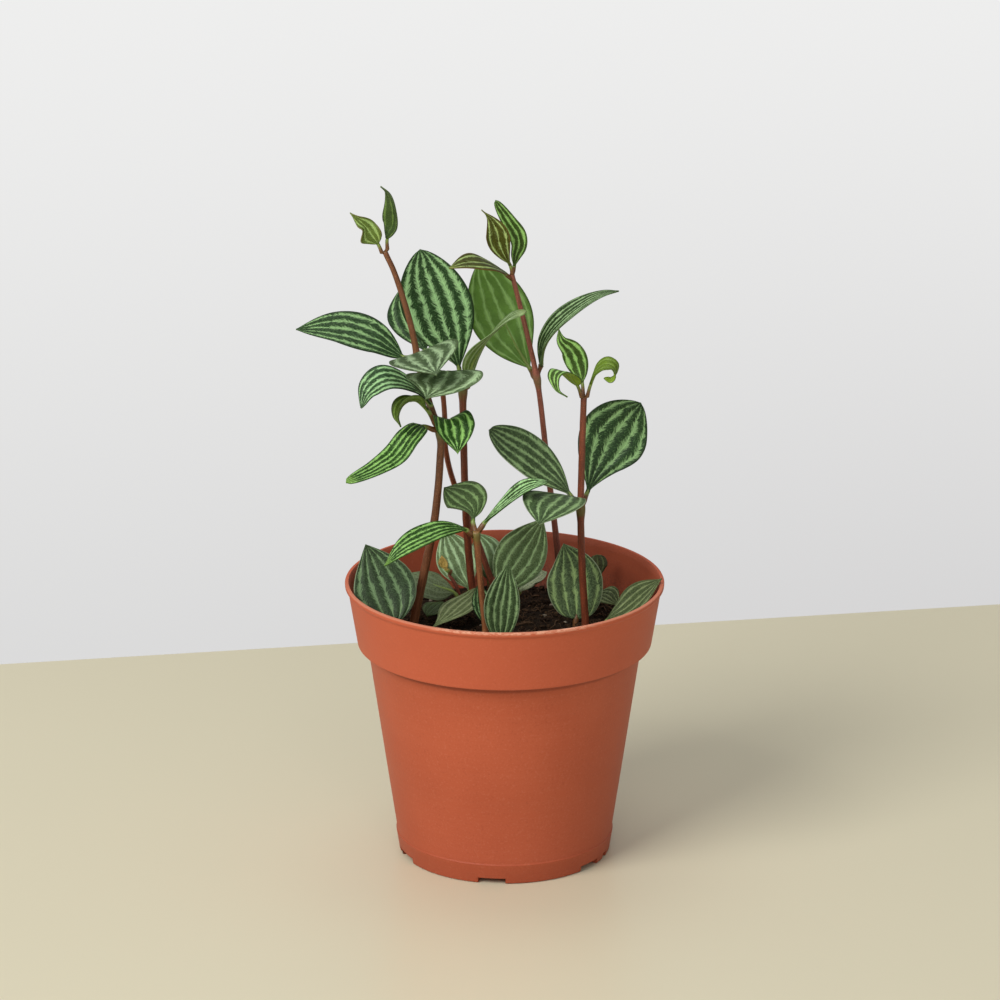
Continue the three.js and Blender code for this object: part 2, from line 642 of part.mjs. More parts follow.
// A leaf is a thin cupped sheet: rows along the rib, columns across, the same on both sides
function makeLeaf(leaf, start) {
  const points = [...start, ...toVectors(leaf.rib)];
  const curve = smoothCurve(points);
  const footShare = start.length / (points.length - 1);
  curve.arcLengthDivisions = RIB_SAMPLES * (points.length - 1);
  const lengths = curve.getLengths();
  const total = lengths.at(-1);
  const footLength = lengths[Math.round(footShare * (lengths.length - 1))];
  const stalkRows = start.length > 1 ? ROOTED_STALK_ROWS : STALK_ROWS;
  const stations = [];
  for (let row = 0; row < stalkRows; row += 1) {
    stations.push(footLength * row / stalkRows);
  }
  for (let row = 0; row <= BLADE_ROWS; row += 1) {
    stations.push(footLength + (total - footLength) * row / BLADE_ROWS);
  }
  const middle = curve.getTangentAt((footLength + total) / 2 / total);
  const across = middle.clone().cross(new THREE.Vector3(...leaf.face)).normalize();
  const vertices = [];
  for (const side of [1, -1]) {
    for (const station of stations) {
      const reach = Math.min(station / total, 1);
      const along = curve.getTangentAt(reach);
      const share = Math.max(0, (station - footLength) / (total - footLength));
      const beside = across.clone().addScaledVector(along, -across.dot(along)).normalize();
      beside.applyAxisAngle(along, (leaf.twist ?? 0) * (share - 0.5));
      const facing = beside.clone().cross(along);
      const blade = bladeHalfWidth(leaf, share);
      const endHalf = share > 0.5 ? TIP_HALF_WIDTH : STALK_RADIUS;
      const half = Math.max(blade, endHalf);
      const thin = THREE.MathUtils.smoothstep(share, 0, FOOT_BLEND);
      const thickness = THREE.MathUtils.lerp(2 * STALK_RADIUS, BLADE_THICKNESS, thin);
      const cup = Math.max(leaf.cup * blade / (leaf.width / 2), FLATTEST_CUP);
      for (let column = 0; column <= BLADE_COLUMNS; column += 1) {
        const angle = cup * (2 * column / BLADE_COLUMNS - 1);
        const point = curve.getPointAt(reach);
        point.addScaledVector(beside, half * Math.sin(angle) / cup);
        point.addScaledVector(facing, half * (1 - Math.cos(angle)) / cup);
        point.addScaledVector(facing, side * thickness / 2 * Math.cos(angle));
        point.addScaledVector(beside, -side * thickness / 2 * Math.sin(angle));
        vertices.push(point.x, point.y, point.z);
      }
    }
  }
  const geometry = new THREE.BufferGeometry();
  geometry.setAttribute('position', new THREE.Float32BufferAttribute(vertices, 3));
  geometry.setIndex(sheetIndex(stations.length, BLADE_COLUMNS + 1));
  geometry.computeVertexNormals();
  return facingOut(geometry);
}

// Triangles of a closed sheet: its upper side, its lower side and the strip round its edge
function sheetIndex(rows, columns) {
  const index = [];
  const at = (layer, row, column) => (layer * rows + row) * columns + column;
  const quad = (a, b, c, d) => index.push(a, b, c, a, c, d);
  for (let row = 0; row < rows - 1; row += 1) {
    for (let column = 0; column < columns - 1; column += 1) {
      const corners = [[row, column], [row, column + 1], [row + 1, column + 1], [row + 1, column]];
      const [a, b, c, d] = corners.map(([r, k]) => at(0, r, k));
      const [e, f, g, h] = corners.map(([r, k]) => at(1, r, k));
      index.push(a, b, c, a, c, d);
      index.push(e, g, f, e, h, g);
    }
  }
  for (let row = 0; row < rows - 1; row += 1) {
    const last = columns - 1;
    quad(at(0, row, 0), at(0, row + 1, 0), at(1, row + 1, 0), at(1, row, 0));
    quad(at(0, row, last), at(1, row, last), at(1, row + 1, last), at(0, row + 1, last));
  }
  for (let column = 0; column < columns - 1; column += 1) {
    const last = rows - 1;
    quad(at(0, 0, column), at(1, 0, column), at(1, 0, column + 1), at(0, 0, column + 1));
    quad(at(0, last, column), at(0, last, column + 1), at(1, last, column + 1), at(1, last, column));
  }
  return index;
}

function addPiece(group, name, geometry, paint) {
  const mesh = new THREE.Mesh(geometry, new THREE.MeshStandardMaterial({ metalness: 0, ...paint }));
  mesh.name = name;
  group.add(mesh);
}

function makePlant() {
  const plant = new THREE.Group();
  const stems = new THREE.Group();
  const leaves = new THREE.Group();
  const holes = [];
  for (const stem of STEMS) {
    const [x, y] = stem.path[0];
    holes.push({ x, y, radius: stem.foot, bottom: rootPoints([x, y])[0][2] });
    addPiece(stems, stem.name, makeStem(stem), PAINT.stem);
  }
  for (const leaf of LEAVES) {
    const stem = STEMS.find((candidate) => candidate.name === leaf.stem);
    const start = stalkStart(stem, leaf.joint, new THREE.Vector3(...leaf.rib[0]));
    addPiece(leaves, leaf.name, makeLeaf(leaf, [start]), PAINT.leaf);
  }
  for (const leaf of LOW_LEAVES) {
    const [x, y] = leaf.root;
    const start = toVectors(rootPoints(leaf.root));
    holes.push({ x, y, radius: STALK_RADIUS * Math.SQRT2, bottom: start[0].z });
    addPiece(leaves, leaf.name, makeLeaf(leaf, start), PAINT.leaf);
  }
  addPiece(plant, 'pot', makePot(), PAINT.pot);
  addPiece(plant, 'soil', makeSoil(holes), PAINT.soil);
  plant.add(stems, leaves);
  return plant;
}

export default makePlant();
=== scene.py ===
"""A potted peperomia: a moulded plastic pot, rough soil, reddish stems and striped leaves."""

import logging
import math
import random
from bisect import bisect_right
from dataclasses import dataclass, field
from enum import Enum
from typing import Optional, Sequence

import bmesh
import bpy
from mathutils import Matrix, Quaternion, Vector, noise


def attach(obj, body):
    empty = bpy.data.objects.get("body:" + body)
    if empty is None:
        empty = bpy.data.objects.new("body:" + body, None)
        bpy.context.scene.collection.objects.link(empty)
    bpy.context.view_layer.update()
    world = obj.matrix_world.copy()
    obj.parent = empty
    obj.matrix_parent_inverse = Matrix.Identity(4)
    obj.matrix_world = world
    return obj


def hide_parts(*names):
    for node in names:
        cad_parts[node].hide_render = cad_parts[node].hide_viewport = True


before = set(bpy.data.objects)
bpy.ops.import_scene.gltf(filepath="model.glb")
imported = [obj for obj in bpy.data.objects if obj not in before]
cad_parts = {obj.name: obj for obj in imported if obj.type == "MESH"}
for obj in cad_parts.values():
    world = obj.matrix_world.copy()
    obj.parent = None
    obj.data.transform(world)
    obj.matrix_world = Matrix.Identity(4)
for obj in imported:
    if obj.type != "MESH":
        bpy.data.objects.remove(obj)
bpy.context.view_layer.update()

LOG = logging.getLogger("peperomia")
Point = tuple[float, float, float]
Colour = tuple[float, float, float]
Socket = bpy.types.NodeSocket

MM = 0.001
# Heights and sizes that more than one class needs, in millimetres
RIM_HEIGHT = 96.0
COLLAR_HEIGHT = 74.5
SKIRT_HEIGHT = 7.0
SOIL_EDGE = 77.4
SOIL_CROWN = 0.6
CROWN_REACH = 50.0
ROOT_DEPTH = 9.0
ROOT_RISE = 0.5
# The distance between two veins, as a share of half the blade's width
VEIN_SPACING = 0.4


# Node boards: short ways to lay out a shader


class Board:
    """Adds nodes to one node tree and joins them."""

    def __init__(self, tree: bpy.types.NodeTree) -> None:
        """Takes the tree that the nodes go into.

        Args:
            tree: The material's, world's or group's node tree.
        """
        self.tree = tree

    def add(self, kind: str, inputs: Optional[dict] = None, **settings: object) -> bpy.types.Node:
        """Adds a node.

        Args:
            kind: The node's type name.
            inputs: Values or sockets for its inputs, by input name or number.
            settings: Values for its properties.

        Returns:
            The new node.
        """
        node = self.tree.nodes.new(kind)
        for key, value in settings.items():
            setattr(node, key, value)
        for key, value in (inputs or {}).items():
            self.feed(node.inputs[key], value)
        return node

    def feed(self, socket: Socket, value: object) -> None:
        """Links a socket to another, or sets its value.

        Args:
            socket: The socket that is fed.
            value: A socket, or a value, or a colour of three parts.
        """
        if isinstance(value, bpy.types.NodeSocket):
            self.tree.links.new(value, socket)
        elif isinstance(value, tuple) and socket.type == "RGBA":
            socket.default_value = (*value, 1.0)
        else:
            socket.default_value = value

    def math(self, operation: str, first: object, second: object = 0.0, third: object = 0.0) -> Socket:
        """Adds a Math node.

        Args:
            operation: The operation's name.
            first: The first value or socket.
            second: The second value or socket.
            third: The third value or socket, for operations that take one.

        Returns:
            The result's socket.
        """
        return self.add("ShaderNodeMath", {0: first, 1: second, 2: third}, operation=operation).outputs[0]

    def times(self, first: object, *others: object) -> Socket:
        """Multiplies values or sockets, in the order given.

        Args:
            first: The first value or socket.
            others: The values or sockets that it is multiplied by.

        Returns:
            The product's socket, or the first as it is if there are no others.
        """
        for other in others:
            first = self.math("MULTIPLY", first, other)
        return first

    def plus(self, first: object, second: object) -> Socket:
        """The sum of two values or sockets."""
        return self.math("ADD", first, second)

    def less(self, first: object, second: object) -> Socket:
        """The first value or socket, less the second."""
        return self.math("SUBTRACT", first, second)

    def away(self, value: object, centre: float) -> Socket:
        """How far a value is from a centre."""
        return self.math("ABSOLUTE", self.less(value, centre))

    def step(self, value: object, low: object, high: object) -> Socket:
        """A smooth step from 0 at low to 1 at high.

        Args:
            value: The value or socket that is compared.
            low: Where the step starts.
            high: Where the step ends.

        Returns:
            The step's socket.
        """
        inputs = {"Value": value, "From Min": low, "From Max": high}
        return self.add("ShaderNodeMapRange", inputs, interpolation_type="SMOOTHSTEP").outputs["Result"]

    def mix(self, share: object, first: object, second: object) -> Socket:
        """Mixes two colours.

        Args:
            share: How much of the second colour shows.
            first: The first colour or socket.
            second: The second colour or socket.

        Returns:
            The mixed colour's socket.
        """
        node = self.add("ShaderNodeMix", data_type="RGBA")
        for number, value in ((0, share), (6, first), (7, second)):
            self.feed(node.inputs[number], value)
        return node.outputs[2]

    def tint(self, colour: object, tone: object, *masks: object) -> Socket:
        """Lays a tone over a colour.

        Args:
            colour: The colour or socket below.
            tone: The colour or socket that is laid over it.
            masks: Values or sockets whose product is the share of the tone.

        Returns:
            The tinted colour's socket.
        """
        return self.mix(self.times(*masks), colour, tone)

    def stretch(self, vector: Socket, scale: Point) -> Socket:
        """A vector with each axis scaled."""
        return self.add("ShaderNodeVectorMath", {0: vector, 1: scale}, operation="MULTIPLY").outputs[0]

    def place(self) -> Socket:
        """The spot on the object, in millimetres."""
        spot = self.add("ShaderNodeTexCoord").outputs["Object"]
        return self.stretch(spot, (1 / MM, 1 / MM, 1 / MM))

    def cloud(self, vector: Socket, scale: float, detail: float = 2.0, rough: float = 0.5) -> Socket:
        """A noise value near 0.5 over a vector.

        Args:
            vector: The coordinates.
            scale: How many features a unit holds.
            detail: How many finer layers are added.
            rough: How strong the finer layers are.

        Returns:
            The noise value's socket.
        """
        inputs = {"Vector": vector, "Scale": scale, "Detail": detail, "Roughness": rough}
        return self.add("ShaderNodeTexNoise", inputs).outputs["Fac"]

    def bump(self, height: Socket, strength: float, depth: float) -> Socket:
        """A bumped normal.

        Args:
            height: The height's socket.
            strength: How strongly the bumps show.
            depth: The height that 1 stands for, in millimetres.

        Returns:
            The normal's socket.
        """
        inputs = {"Strength": strength, "Distance": depth * MM, "Height": height}
        return self.add("ShaderNodeBump", inputs).outputs["Normal"]

    def attribute(self, name: str) -> Socket:
        """The vector of one of the mesh's own attributes."""
        return self.add("ShaderNodeAttribute", attribute_name=name).outputs["Vector"]

    def split(self, vector: Socket) -> tuple[Socket, Socket, Socket]:
        """The three parts of a vector."""
        node = self.add("ShaderNodeSeparateXYZ", {0: vector})
        return node.outputs[0], node.outputs[1], node.outputs[2]

    def join(self, x: object, y: object, z: object) -> Socket:
        """A vector from its three parts."""
        return self.add("ShaderNodeCombineXYZ", {0: x, 1: y, 2: z}).outputs[0]

    def use(self, group: bpy.types.NodeTree, inputs: dict) -> bpy.types.Node:
        """Places a node group.

        Args:
            group: The group's node tree.
            inputs: Values or sockets for its inputs, by name.

        Returns:
            The group's node.
        """
        return self.add("ShaderNodeGroup", inputs, node_tree=group)

    def surface(self, colour: Socket, rough: object, gloss: float = 0.5,
                normal: Optional[Socket] = None) -> None:
        """Adds the surface shader and the material's output.

        Args:
            colour: The base colour.
            rough: The roughness, as a value or socket.
            gloss: How strongly the surface mirrors.
            normal: The bumped normal, if there is one.
        """
        inputs = {"Base Color": colour, "Roughness": rough, "Specular IOR Level": gloss}
        if normal is not None:
            inputs["Normal"] = normal
        shader = self.add("ShaderNodeBsdfPrincipled", inputs)
        self.add("ShaderNodeOutputMaterial", {"Surface": shader.outputs[0]})


def new_group(name: str, inputs: dict[str, tuple[str, object]],
              outputs: Sequence[str]) -> tuple[bpy.types.NodeTree, Board, bpy.types.Node, bpy.types.Node]:
    """Starts a shader node group.

    Args:
        name: The group's name.
        inputs: The kind and default of each input, by name.
        outputs: The names of its value outputs.

    Returns:
        The group, its board, its input node and its output node.
    """
    tree = bpy.data.node_groups.new(name, "ShaderNodeTree")
    for label, (kind, default) in inputs.items():
        socket = tree.interface.new_socket(label, in_out="INPUT", socket_type=kind)
        if default is not None:
            socket.default_value = default
    for label in outputs:
        tree.interface.new_socket(label, in_out="OUTPUT", socket_type="NodeSocketFloat")
    board = Board(tree)
    return tree, board, board.add("NodeGroupInput"), board.add("NodeGroupOutput")


@dataclass(frozen=True)
class BandShape:
    """How the pale bands wander, swell and fray. Scales are features per millimetre."""

    sway: float = 0.2
    sway_scale: float = 0.11
    lean: float = 1.25
    lane_step: float = 5.3
    barb_scale: float = 1.9
    barb_rough: float = 0.68
    swell: float = 0.8
    swell_scale: float = 0.28
    least: float = 0.62
    foot_width: float = 0.55
    bay: float = 0.24
    bay_scale: float = 0.5
    fray_middle: float = 0.62
    thin_scale: float = 0.85
    patch_scale: float = 0.35


class SharedEffects:
    """The node groups that more than one finish uses."""

    def __init__(self) -> None:
        """Builds each group once."""
        self.bands = self.make_bands(BandShape())
        self.speckle = self.make_speckle()

    @staticmethod
    def make_bands(shape: BandShape) -> bpy.types.NodeTree:
        """The pale bands that run along a blade's veins, with feathered edges.

        Args:
            shape: How the bands wander, swell and fray.

        Returns:
            A group that gives masks of the bands, of their pale cores, of the veins in their middle and
            of the fine barbs between them, and the height of the flesh between the veins.
        """
        tree, board, given, result = new_group(
            "vein_bands",
            {
                "Blade": ("NodeSocketVector", None),
                "Skin": ("NodeSocketVector", None),
                "Spacing": ("NodeSocketFloat", VEIN_SPACING),
                "Width": ("NodeSocketFloat", 0.44),
                "Feather": ("NodeSocketFloat", 1.0),
            },
            ("Band", "Core", "Vein", "Barb", "Flesh"),
        )
        across, along, half = board.split(given.outputs["Blade"])
        skin = given.outputs["Skin"]
        spacing = given.outputs["Spacing"]
        _, length, seed = board.split(skin)
        sway = board.less(board.cloud(skin, shape.sway_scale, 1.0), 0.5)
        turns = board.math("DIVIDE", board.plus(across, board.times(sway, shape.sway)), spacing)
        vein = board.math("ROUND", turns)
        pitch = board.times(spacing, half)
        away = board.times(board.less(turns, vein), pitch)
        gap = board.math("ABSOLUTE", away)
        start = board.less(length, board.times(gap, shape.lean))
        lane = board.plus(seed, board.times(vein, shape.lane_step))
        barbs = board.cloud(board.join(board.times(away, 0.3), start, lane), shape.barb_scale, 3.0,
                            shape.barb_rough)
        slow = board.cloud(board.join(0.0, length, lane), shape.swell_scale, 1.0)
        grown = board.times(board.step(along, 0.0, 0.35), 1.0 - shape.foot_width)
        grown = board.plus(shape.foot_width, grown)
        swell = board.plus(shape.least, board.times(board.step(slow, 0.32, 0.68), shape.swell))
        share = board.times(given.outputs["Width"], grown, 0.5, swell)
        bays = board.cloud(board.join(board.times(away, 0.5), start, lane), shape.bay_scale, 1.0)
        ragged = board.less(board.plus(barbs, board.times(bays, shape.bay)), shape.fray_middle)
        fray = board.times(ragged, given.outputs["Feather"], pitch, board.step(along, 0.03, 0.3))
        edge = board.less(board.plus(board.times(pitch, share), fray), gap)
        board.feed(result.inputs["Band"], board.step(edge, -0.14, 0.24))
        depth = board.math("DIVIDE", edge, board.math("MAXIMUM", pitch, 0.5))
        board.feed(result.inputs["Core"], board.step(depth, 0.0, 0.2))
        board.feed(result.inputs["Vein"], board.step(gap, 0.24, 0.05))
        thin = board.cloud(board.join(board.times(away, 0.1), start, lane), shape.thin_scale, 2.0, 0.6)
        ridge = board.step(board.away(thin, 0.5), 0.045, 0.0)
        near = board.step(board.math("DIVIDE", gap, board.math("MAXIMUM", pitch, 0.05)), 0.5, 0.15)
        patch = board.step(board.cloud(skin, shape.patch_scale, 1.0), 0.42, 0.6)
        board.feed(result.inputs["Barb"], board.times(ridge, near, patch))
        wave = board.math("COSINE", board.times(turns, math.tau))
        board.feed(result.inputs["Flesh"], board.less(0.5, board.times(wave, 0.5)))
        return tree

    @staticmethod
    def make_speckle() -> bpy.types.NodeTree:
        """Fine grain and wide blotches, for a colour or a height.

        Returns:
            A group that gives the grain and the blotches.
        """
        tree, board, given, result = new_group(
            "speckle",
            {
                "Vector": ("NodeSocketVector", None),
                "Fine": ("NodeSocketFloat", 3.0),
                "Wide": ("NodeSocketFloat", 0.2),
            },
            ("Grain", "Blotch"),
        )
        for label, key, detail in (("Grain", "Fine", 3.0), ("Blotch", "Wide", 2.0)):
            spots = board.cloud(given.outputs["Vector"], given.outputs[key], detail)
            board.feed(result.inputs[label], spots)
        return tree

    def spots(self, board: Board, vector: Socket, fine: float, wide: float) -> tuple[Socket, Socket]:
        """Places the speckle.

        Args:
            board: The board that it goes on.
            vector: The coordinates.
            fine: How many grains a unit holds.
            wide: How many blotches a unit holds.

        Returns:
            The grain and the blotches.
        """
        made = board.use(self.speckle, {"Vector": vector, "Fine": fine, "Wide": wide})
        return made.outputs["Grain"], made.outputs["Blotch"]


def start_material(name: str) -> tuple[bpy.types.Material, Board]:
    """Starts a material.

    Args:
        name: The material's name.

    Returns:
        The material and its empty board.
    """
    material = bpy.data.materials.new(name)
    material.use_nodes = True
    material.node_tree.nodes.clear()
    return material, Board(material.node_tree)


def scaled(colour: Colour, scale: Sequence[float], lift: float = 0.0) -> Colour:
    """A colour with its parts scaled and lifted, none of them past 1.

    Args:
        colour: The colour.
        scale: The factor of each part, or one for all.
        lift: What is added to each part.

    Returns:
        The new colour.
    """
    factors = scale if len(scale) == 3 else scale * 3
    return tuple(min(1.0, part * factor + lift) for part, factor in zip(colour, factors))


# Finishes


@dataclass(frozen=True)
class BladeFinish:
    """The upper or lower skin of a leaf blade."""

    name: str
    flesh: Colour
    band: Colour
    edge: Colour
    strength: float = 1.0
    width: float = 0.46
    spacing: float = VEIN_SPACING
    feather: float = 1.0
    barb: float = 0.45
    rough: float = 0.42
    relief: float = 0.6
    gloss: float = 0.22
    rim: float = 0.92
    mottle: float = 1.0
    tip: float = 0.0

    def build(self, effects: SharedEffects) -> bpy.types.Material:
        """Makes the material.

        Args:
            effects: The shared node groups.

        Returns:
            The finished material.
        """
        material, board = start_material(self.name)
        blade, skin = board.attribute("blade"), board.attribute("skin")
        across, along, _ = board.split(blade)
        inputs = {"Blade": blade, "Skin": skin, "Spacing": self.spacing, "Width": self.width,
                  "Feather": self.feather}
        bands = board.use(effects.bands, inputs).outputs
        grain, blotch = effects.spots(board, skin, 2.4, 0.2)
        flesh = board.mix(board.step(blotch, 0.3, 0.7), self.flesh, scaled(self.flesh, (1.35,)))
        flesh = board.tint(flesh, scaled(self.flesh, (0.6,)), board.step(grain, 0.58, 0.38), self.mottle)
        flesh = board.tint(flesh, self.band, board.step(grain, 0.56, 0.7), 0.22 * self.mottle)
        flesh = board.tint(flesh, self.band, bands["Barb"], self.barb * self.strength)
        warm = scaled(self.band, (1.25, 1.15, 0.8))
        band = board.mix(board.step(along, 0.3, 0.0), self.band, warm)
        worn = board.times(board.step(grain, 0.6, 0.36), self.mottle)
        worn = board.math("MAXIMUM", worn, board.less(1.0, bands["Core"]))
        band = board.mix(worn, band, scaled(self.band, (0.7,)))
        band = board.tint(band, scaled(self.band, (1.3,), 0.03), bands["Vein"], 0.4)
        fade = board.less(self.strength, board.times(board.step(along, 0.8, 1.0), 0.3))
        colour = board.tint(flesh, band, bands["Band"], fade)
        colour = board.tint(colour, warm, board.step(along, 0.86, 1.0), self.tip)
        rim = board.step(board.math("ABSOLUTE", across), self.rim, min(0.999, self.rim + 0.05))
        colour = board.tint(colour, self.edge, rim, 0.8)
        height = board.plus(board.times(bands["Flesh"], self.relief), board.times(grain, 0.3))
        height = board.less(height, board.times(bands["Barb"], 0.25))
        rough = board.math("MULTIPLY_ADD", grain, 0.16, self.rough - 0.08)
        board.surface(colour, rough, self.gloss, board.bump(height, 0.6, 0.5))
        return material


class Skin(Enum):
    """The blade finishes, by how that leaf looks."""

    DARK = BladeFinish(
        "leaf_dark", (0.019, 0.052, 0.014), (0.260, 0.450, 0.180), (0.012, 0.030, 0.008),
        width=0.36, feather=1.15,
    )
    # The dark finish lightened: painted light on leaves that the lamps leave too dim
    VIVID = BladeFinish(
        "leaf_vivid", (0.023, 0.062, 0.019), (0.370, 0.640, 0.290), (0.014, 0.036, 0.010),
        width=0.42, feather=1.1,
    )
    GLEAM = BladeFinish(
        "leaf_gleam", (0.022, 0.056, 0.008), (0.460, 0.790, 0.340), (0.03, 0.08, 0.01),
        width=0.5, barb=0.8,
    )
    SHADY = BladeFinish(
        "leaf_shady", (0.036, 0.064, 0.026), (0.175, 0.290, 0.130), (0.28, 0.37, 0.21),
        width=0.34, feather=0.8, rim=0.95,
    )
    # Paler grey-green: partly the lower leaves' own tone, partly painted light on leaves shaded deep among
    # the others
    DEEP = BladeFinish(
        "leaf_deep", (0.056, 0.096, 0.036), (0.280, 0.430, 0.185), (0.36, 0.46, 0.27),
        width=0.4, feather=0.9, rim=0.95,
    )
    # A lighter finish: painted light on a leaf low in the pot's shade
    HAZY = BladeFinish(
        "leaf_hazy", (0.092, 0.142, 0.064), (0.350, 0.520, 0.200), (0.42, 0.52, 0.31),
        width=0.36, feather=0.8, rim=0.95,
    )
    # The palest finish: painted light on a leaf in the shade of the leaves above
    MIST = BladeFinish(
        "leaf_mist", (0.145, 0.220, 0.088), (0.440, 0.650, 0.290), (0.48, 0.60, 0.37),
        width=0.34, feather=0.7, rim=0.95,
    )
    BRIGHT = BladeFinish(
        "leaf_bright", (0.016, 0.060, 0.005), (0.310, 0.600, 0.155), (0.03, 0.08, 0.01),
        width=0.42, barb=0.9, tip=0.4,
    )
    # Greyer and paler than the dark finish: painted sheen from the light above
    GREY = BladeFinish(
        "leaf_grey", (0.062, 0.100, 0.040), (0.350, 0.490, 0.270), (0.08, 0.12, 0.05),
        rough=0.5, width=0.46, feather=1.3, barb=0.8,
    )
    # The grey finish lightened further: painted sheen and painted light on a leaf that lies in shade
    LIT_GREY = BladeFinish(
        "leaf_lit_grey", (0.100, 0.155, 0.064), (0.460, 0.640, 0.350), (0.12, 0.18, 0.08), rough=0.5,
        width=0.44, feather=1.2, barb=0.8,
    )
    CLOUDY = BladeFinish(
        "leaf_cloudy", (0.140, 0.210, 0.086), (0.450, 0.650, 0.350), (0.42, 0.56, 0.33), rough=0.5,
        width=0.44, feather=0.6, mottle=0.6,
    )
    SAGE = BladeFinish(
        "leaf_sage", (0.056, 0.094, 0.030), (0.215, 0.340, 0.125), (0.09, 0.12, 0.05),
        rough=0.5, width=0.36, feather=0.8,
    )
    MOSS = BladeFinish(
        "leaf_moss", (0.034, 0.066, 0.010), (0.120, 0.205, 0.040), (0.03, 0.05, 0.01),
        width=0.32, spacing=0.8, feather=0.4, mottle=0.5, gloss=0.35,
    )
    OLIVE = BladeFinish(
        "leaf_olive", (0.056, 0.096, 0.006), (0.170, 0.280, 0.045), (0.04, 0.07, 0.01),
        width=0.36, spacing=0.66, feather=0.5, mottle=0.5,
    )
    # Pale and grey: painted sheen from the light above, lightened further as painted light
    SHEENED = BladeFinish(
        "leaf_sheened", (0.230, 0.280, 0.112), (0.340, 0.410, 0.190), (0.30, 0.36, 0.17),
        strength=0.8, rough=0.55, gloss=0.2,
    )
    # Pale grey-green: painted sheen from the light above
    DULL = BladeFinish(
        "leaf_dull", (0.112, 0.148, 0.054), (0.280, 0.335, 0.155), (0.20, 0.25, 0.11),
        width=0.42, feather=0.7, rough=0.55, gloss=0.2,
    )
    FADED = BladeFinish(
        "leaf_faded", (0.072, 0.102, 0.036), (0.260, 0.325, 0.140), (0.12, 0.16, 0.06),
        strength=0.9, width=0.4, feather=0.7, rough=0.5, gloss=0.2,
    )
    DIM = BladeFinish(
        "leaf_dim", (0.050, 0.082, 0.022), (0.100, 0.150, 0.060), (0.06, 0.09, 0.03),
        strength=0.7, width=0.36, feather=0.5, rough=0.5,
    )
    DRY = BladeFinish(
        "leaf_dry", (0.042, 0.046, 0.015), (0.110, 0.140, 0.048), (0.05, 0.05, 0.02),
        strength=0.8, width=0.34, spacing=0.6, feather=0.5, rough=0.5,
    )
    YOUNG = BladeFinish(
        "leaf_young", (0.100, 0.150, 0.022), (0.290, 0.420, 0.120), (0.20, 0.16, 0.06),
        width=0.44, spacing=0.6, feather=0.6, tip=0.6, mottle=0.5,
    )
    FINE = BladeFinish(
        "leaf_fine", (0.018, 0.042, 0.008), (0.290, 0.450, 0.210), (0.04, 0.07, 0.02),
        width=0.46, spacing=0.32, feather=0.5, mottle=0.3,
    )
    PASTEL = BladeFinish(
        "leaf_pastel", (0.100, 0.160, 0.038), (0.480, 0.660, 0.350), (0.16, 0.24, 0.09),
        width=0.5, spacing=0.34, feather=0.5, mottle=0.3, tip=0.25,
    )
    STREAKED = BladeFinish(
        "leaf_streaked", (0.038, 0.072, 0.011), (0.300, 0.550, 0.145), (0.06, 0.11, 0.02),
        width=0.42, spacing=0.7, feather=0.4, mottle=0.4,
    )
    LIME = BladeFinish(
        "leaf_lime", (0.105, 0.175, 0.012), (0.230, 0.350, 0.070), (0.08, 0.13, 0.02),
        strength=0.6, width=0.36, spacing=0.6, feather=0.4, mottle=0.4,
    )
    BRONZE = BladeFinish(
        "leaf_bronze", (0.052, 0.056, 0.004), (0.370, 0.490, 0.160), (0.15, 0.08, 0.02),
        width=0.28, spacing=0.66, feather=0.4, tip=0.3, mottle=0.5,
    )
    # A withered pale leaf, made paler still as painted light on it in the pot's shade
    PALE = BladeFinish(
        "leaf_pale", (0.50, 0.60, 0.34), (0.74, 0.82, 0.54), (0.66, 0.74, 0.48), rough=0.6, gloss=0.2
    )
    BUD = BladeFinish(
        "leaf_bud", (0.62, 0.42, 0.11), (0.80, 0.62, 0.20), (0.50, 0.26, 0.09), width=0.3, feather=0.3
    )


class Underside(Enum):
    """The lower skins."""

    OLIVE = BladeFinish(
        "under_olive", (0.100, 0.165, 0.026), (0.180, 0.270, 0.065), (0.10, 0.15, 0.04),
        strength=0.6, width=0.3, feather=0.4, barb=0.2, rough=0.45, relief=-0.25,
    )
    FRESH = BladeFinish(
        "under_fresh", (0.104, 0.215, 0.036), (0.290, 0.500, 0.150), (0.06, 0.11, 0.02),
        strength=0.8, width=0.36, feather=0.35, barb=0.1, rough=0.5, relief=-0.2, mottle=0.2,
    )
    # A lighter underside: painted light on undersides that lie in shade
    SAP = BladeFinish(
        "under_sap", (0.190, 0.290, 0.026), (0.280, 0.410, 0.070), (0.10, 0.16, 0.02),
        strength=0.5, width=0.32, spacing=0.6, feather=0.35, barb=0.1, rough=0.5, relief=-0.2, mottle=0.2,
    )
    STRIPED = BladeFinish(
        "under_striped", (0.130, 0.220, 0.048), (0.320, 0.450, 0.210), (0.16, 0.22, 0.09),
        strength=0.85, width=0.42, feather=0.4, barb=0.2, rough=0.5, relief=-0.25, tip=0.9,
    )
    SILVER = BladeFinish(
        "under_silver", (0.110, 0.145, 0.068), (0.165, 0.215, 0.115), (0.15, 0.19, 0.10),
        strength=0.6, width=0.3, feather=0.4, barb=0.2, rough=0.6, relief=-0.2, gloss=0.2,
    )


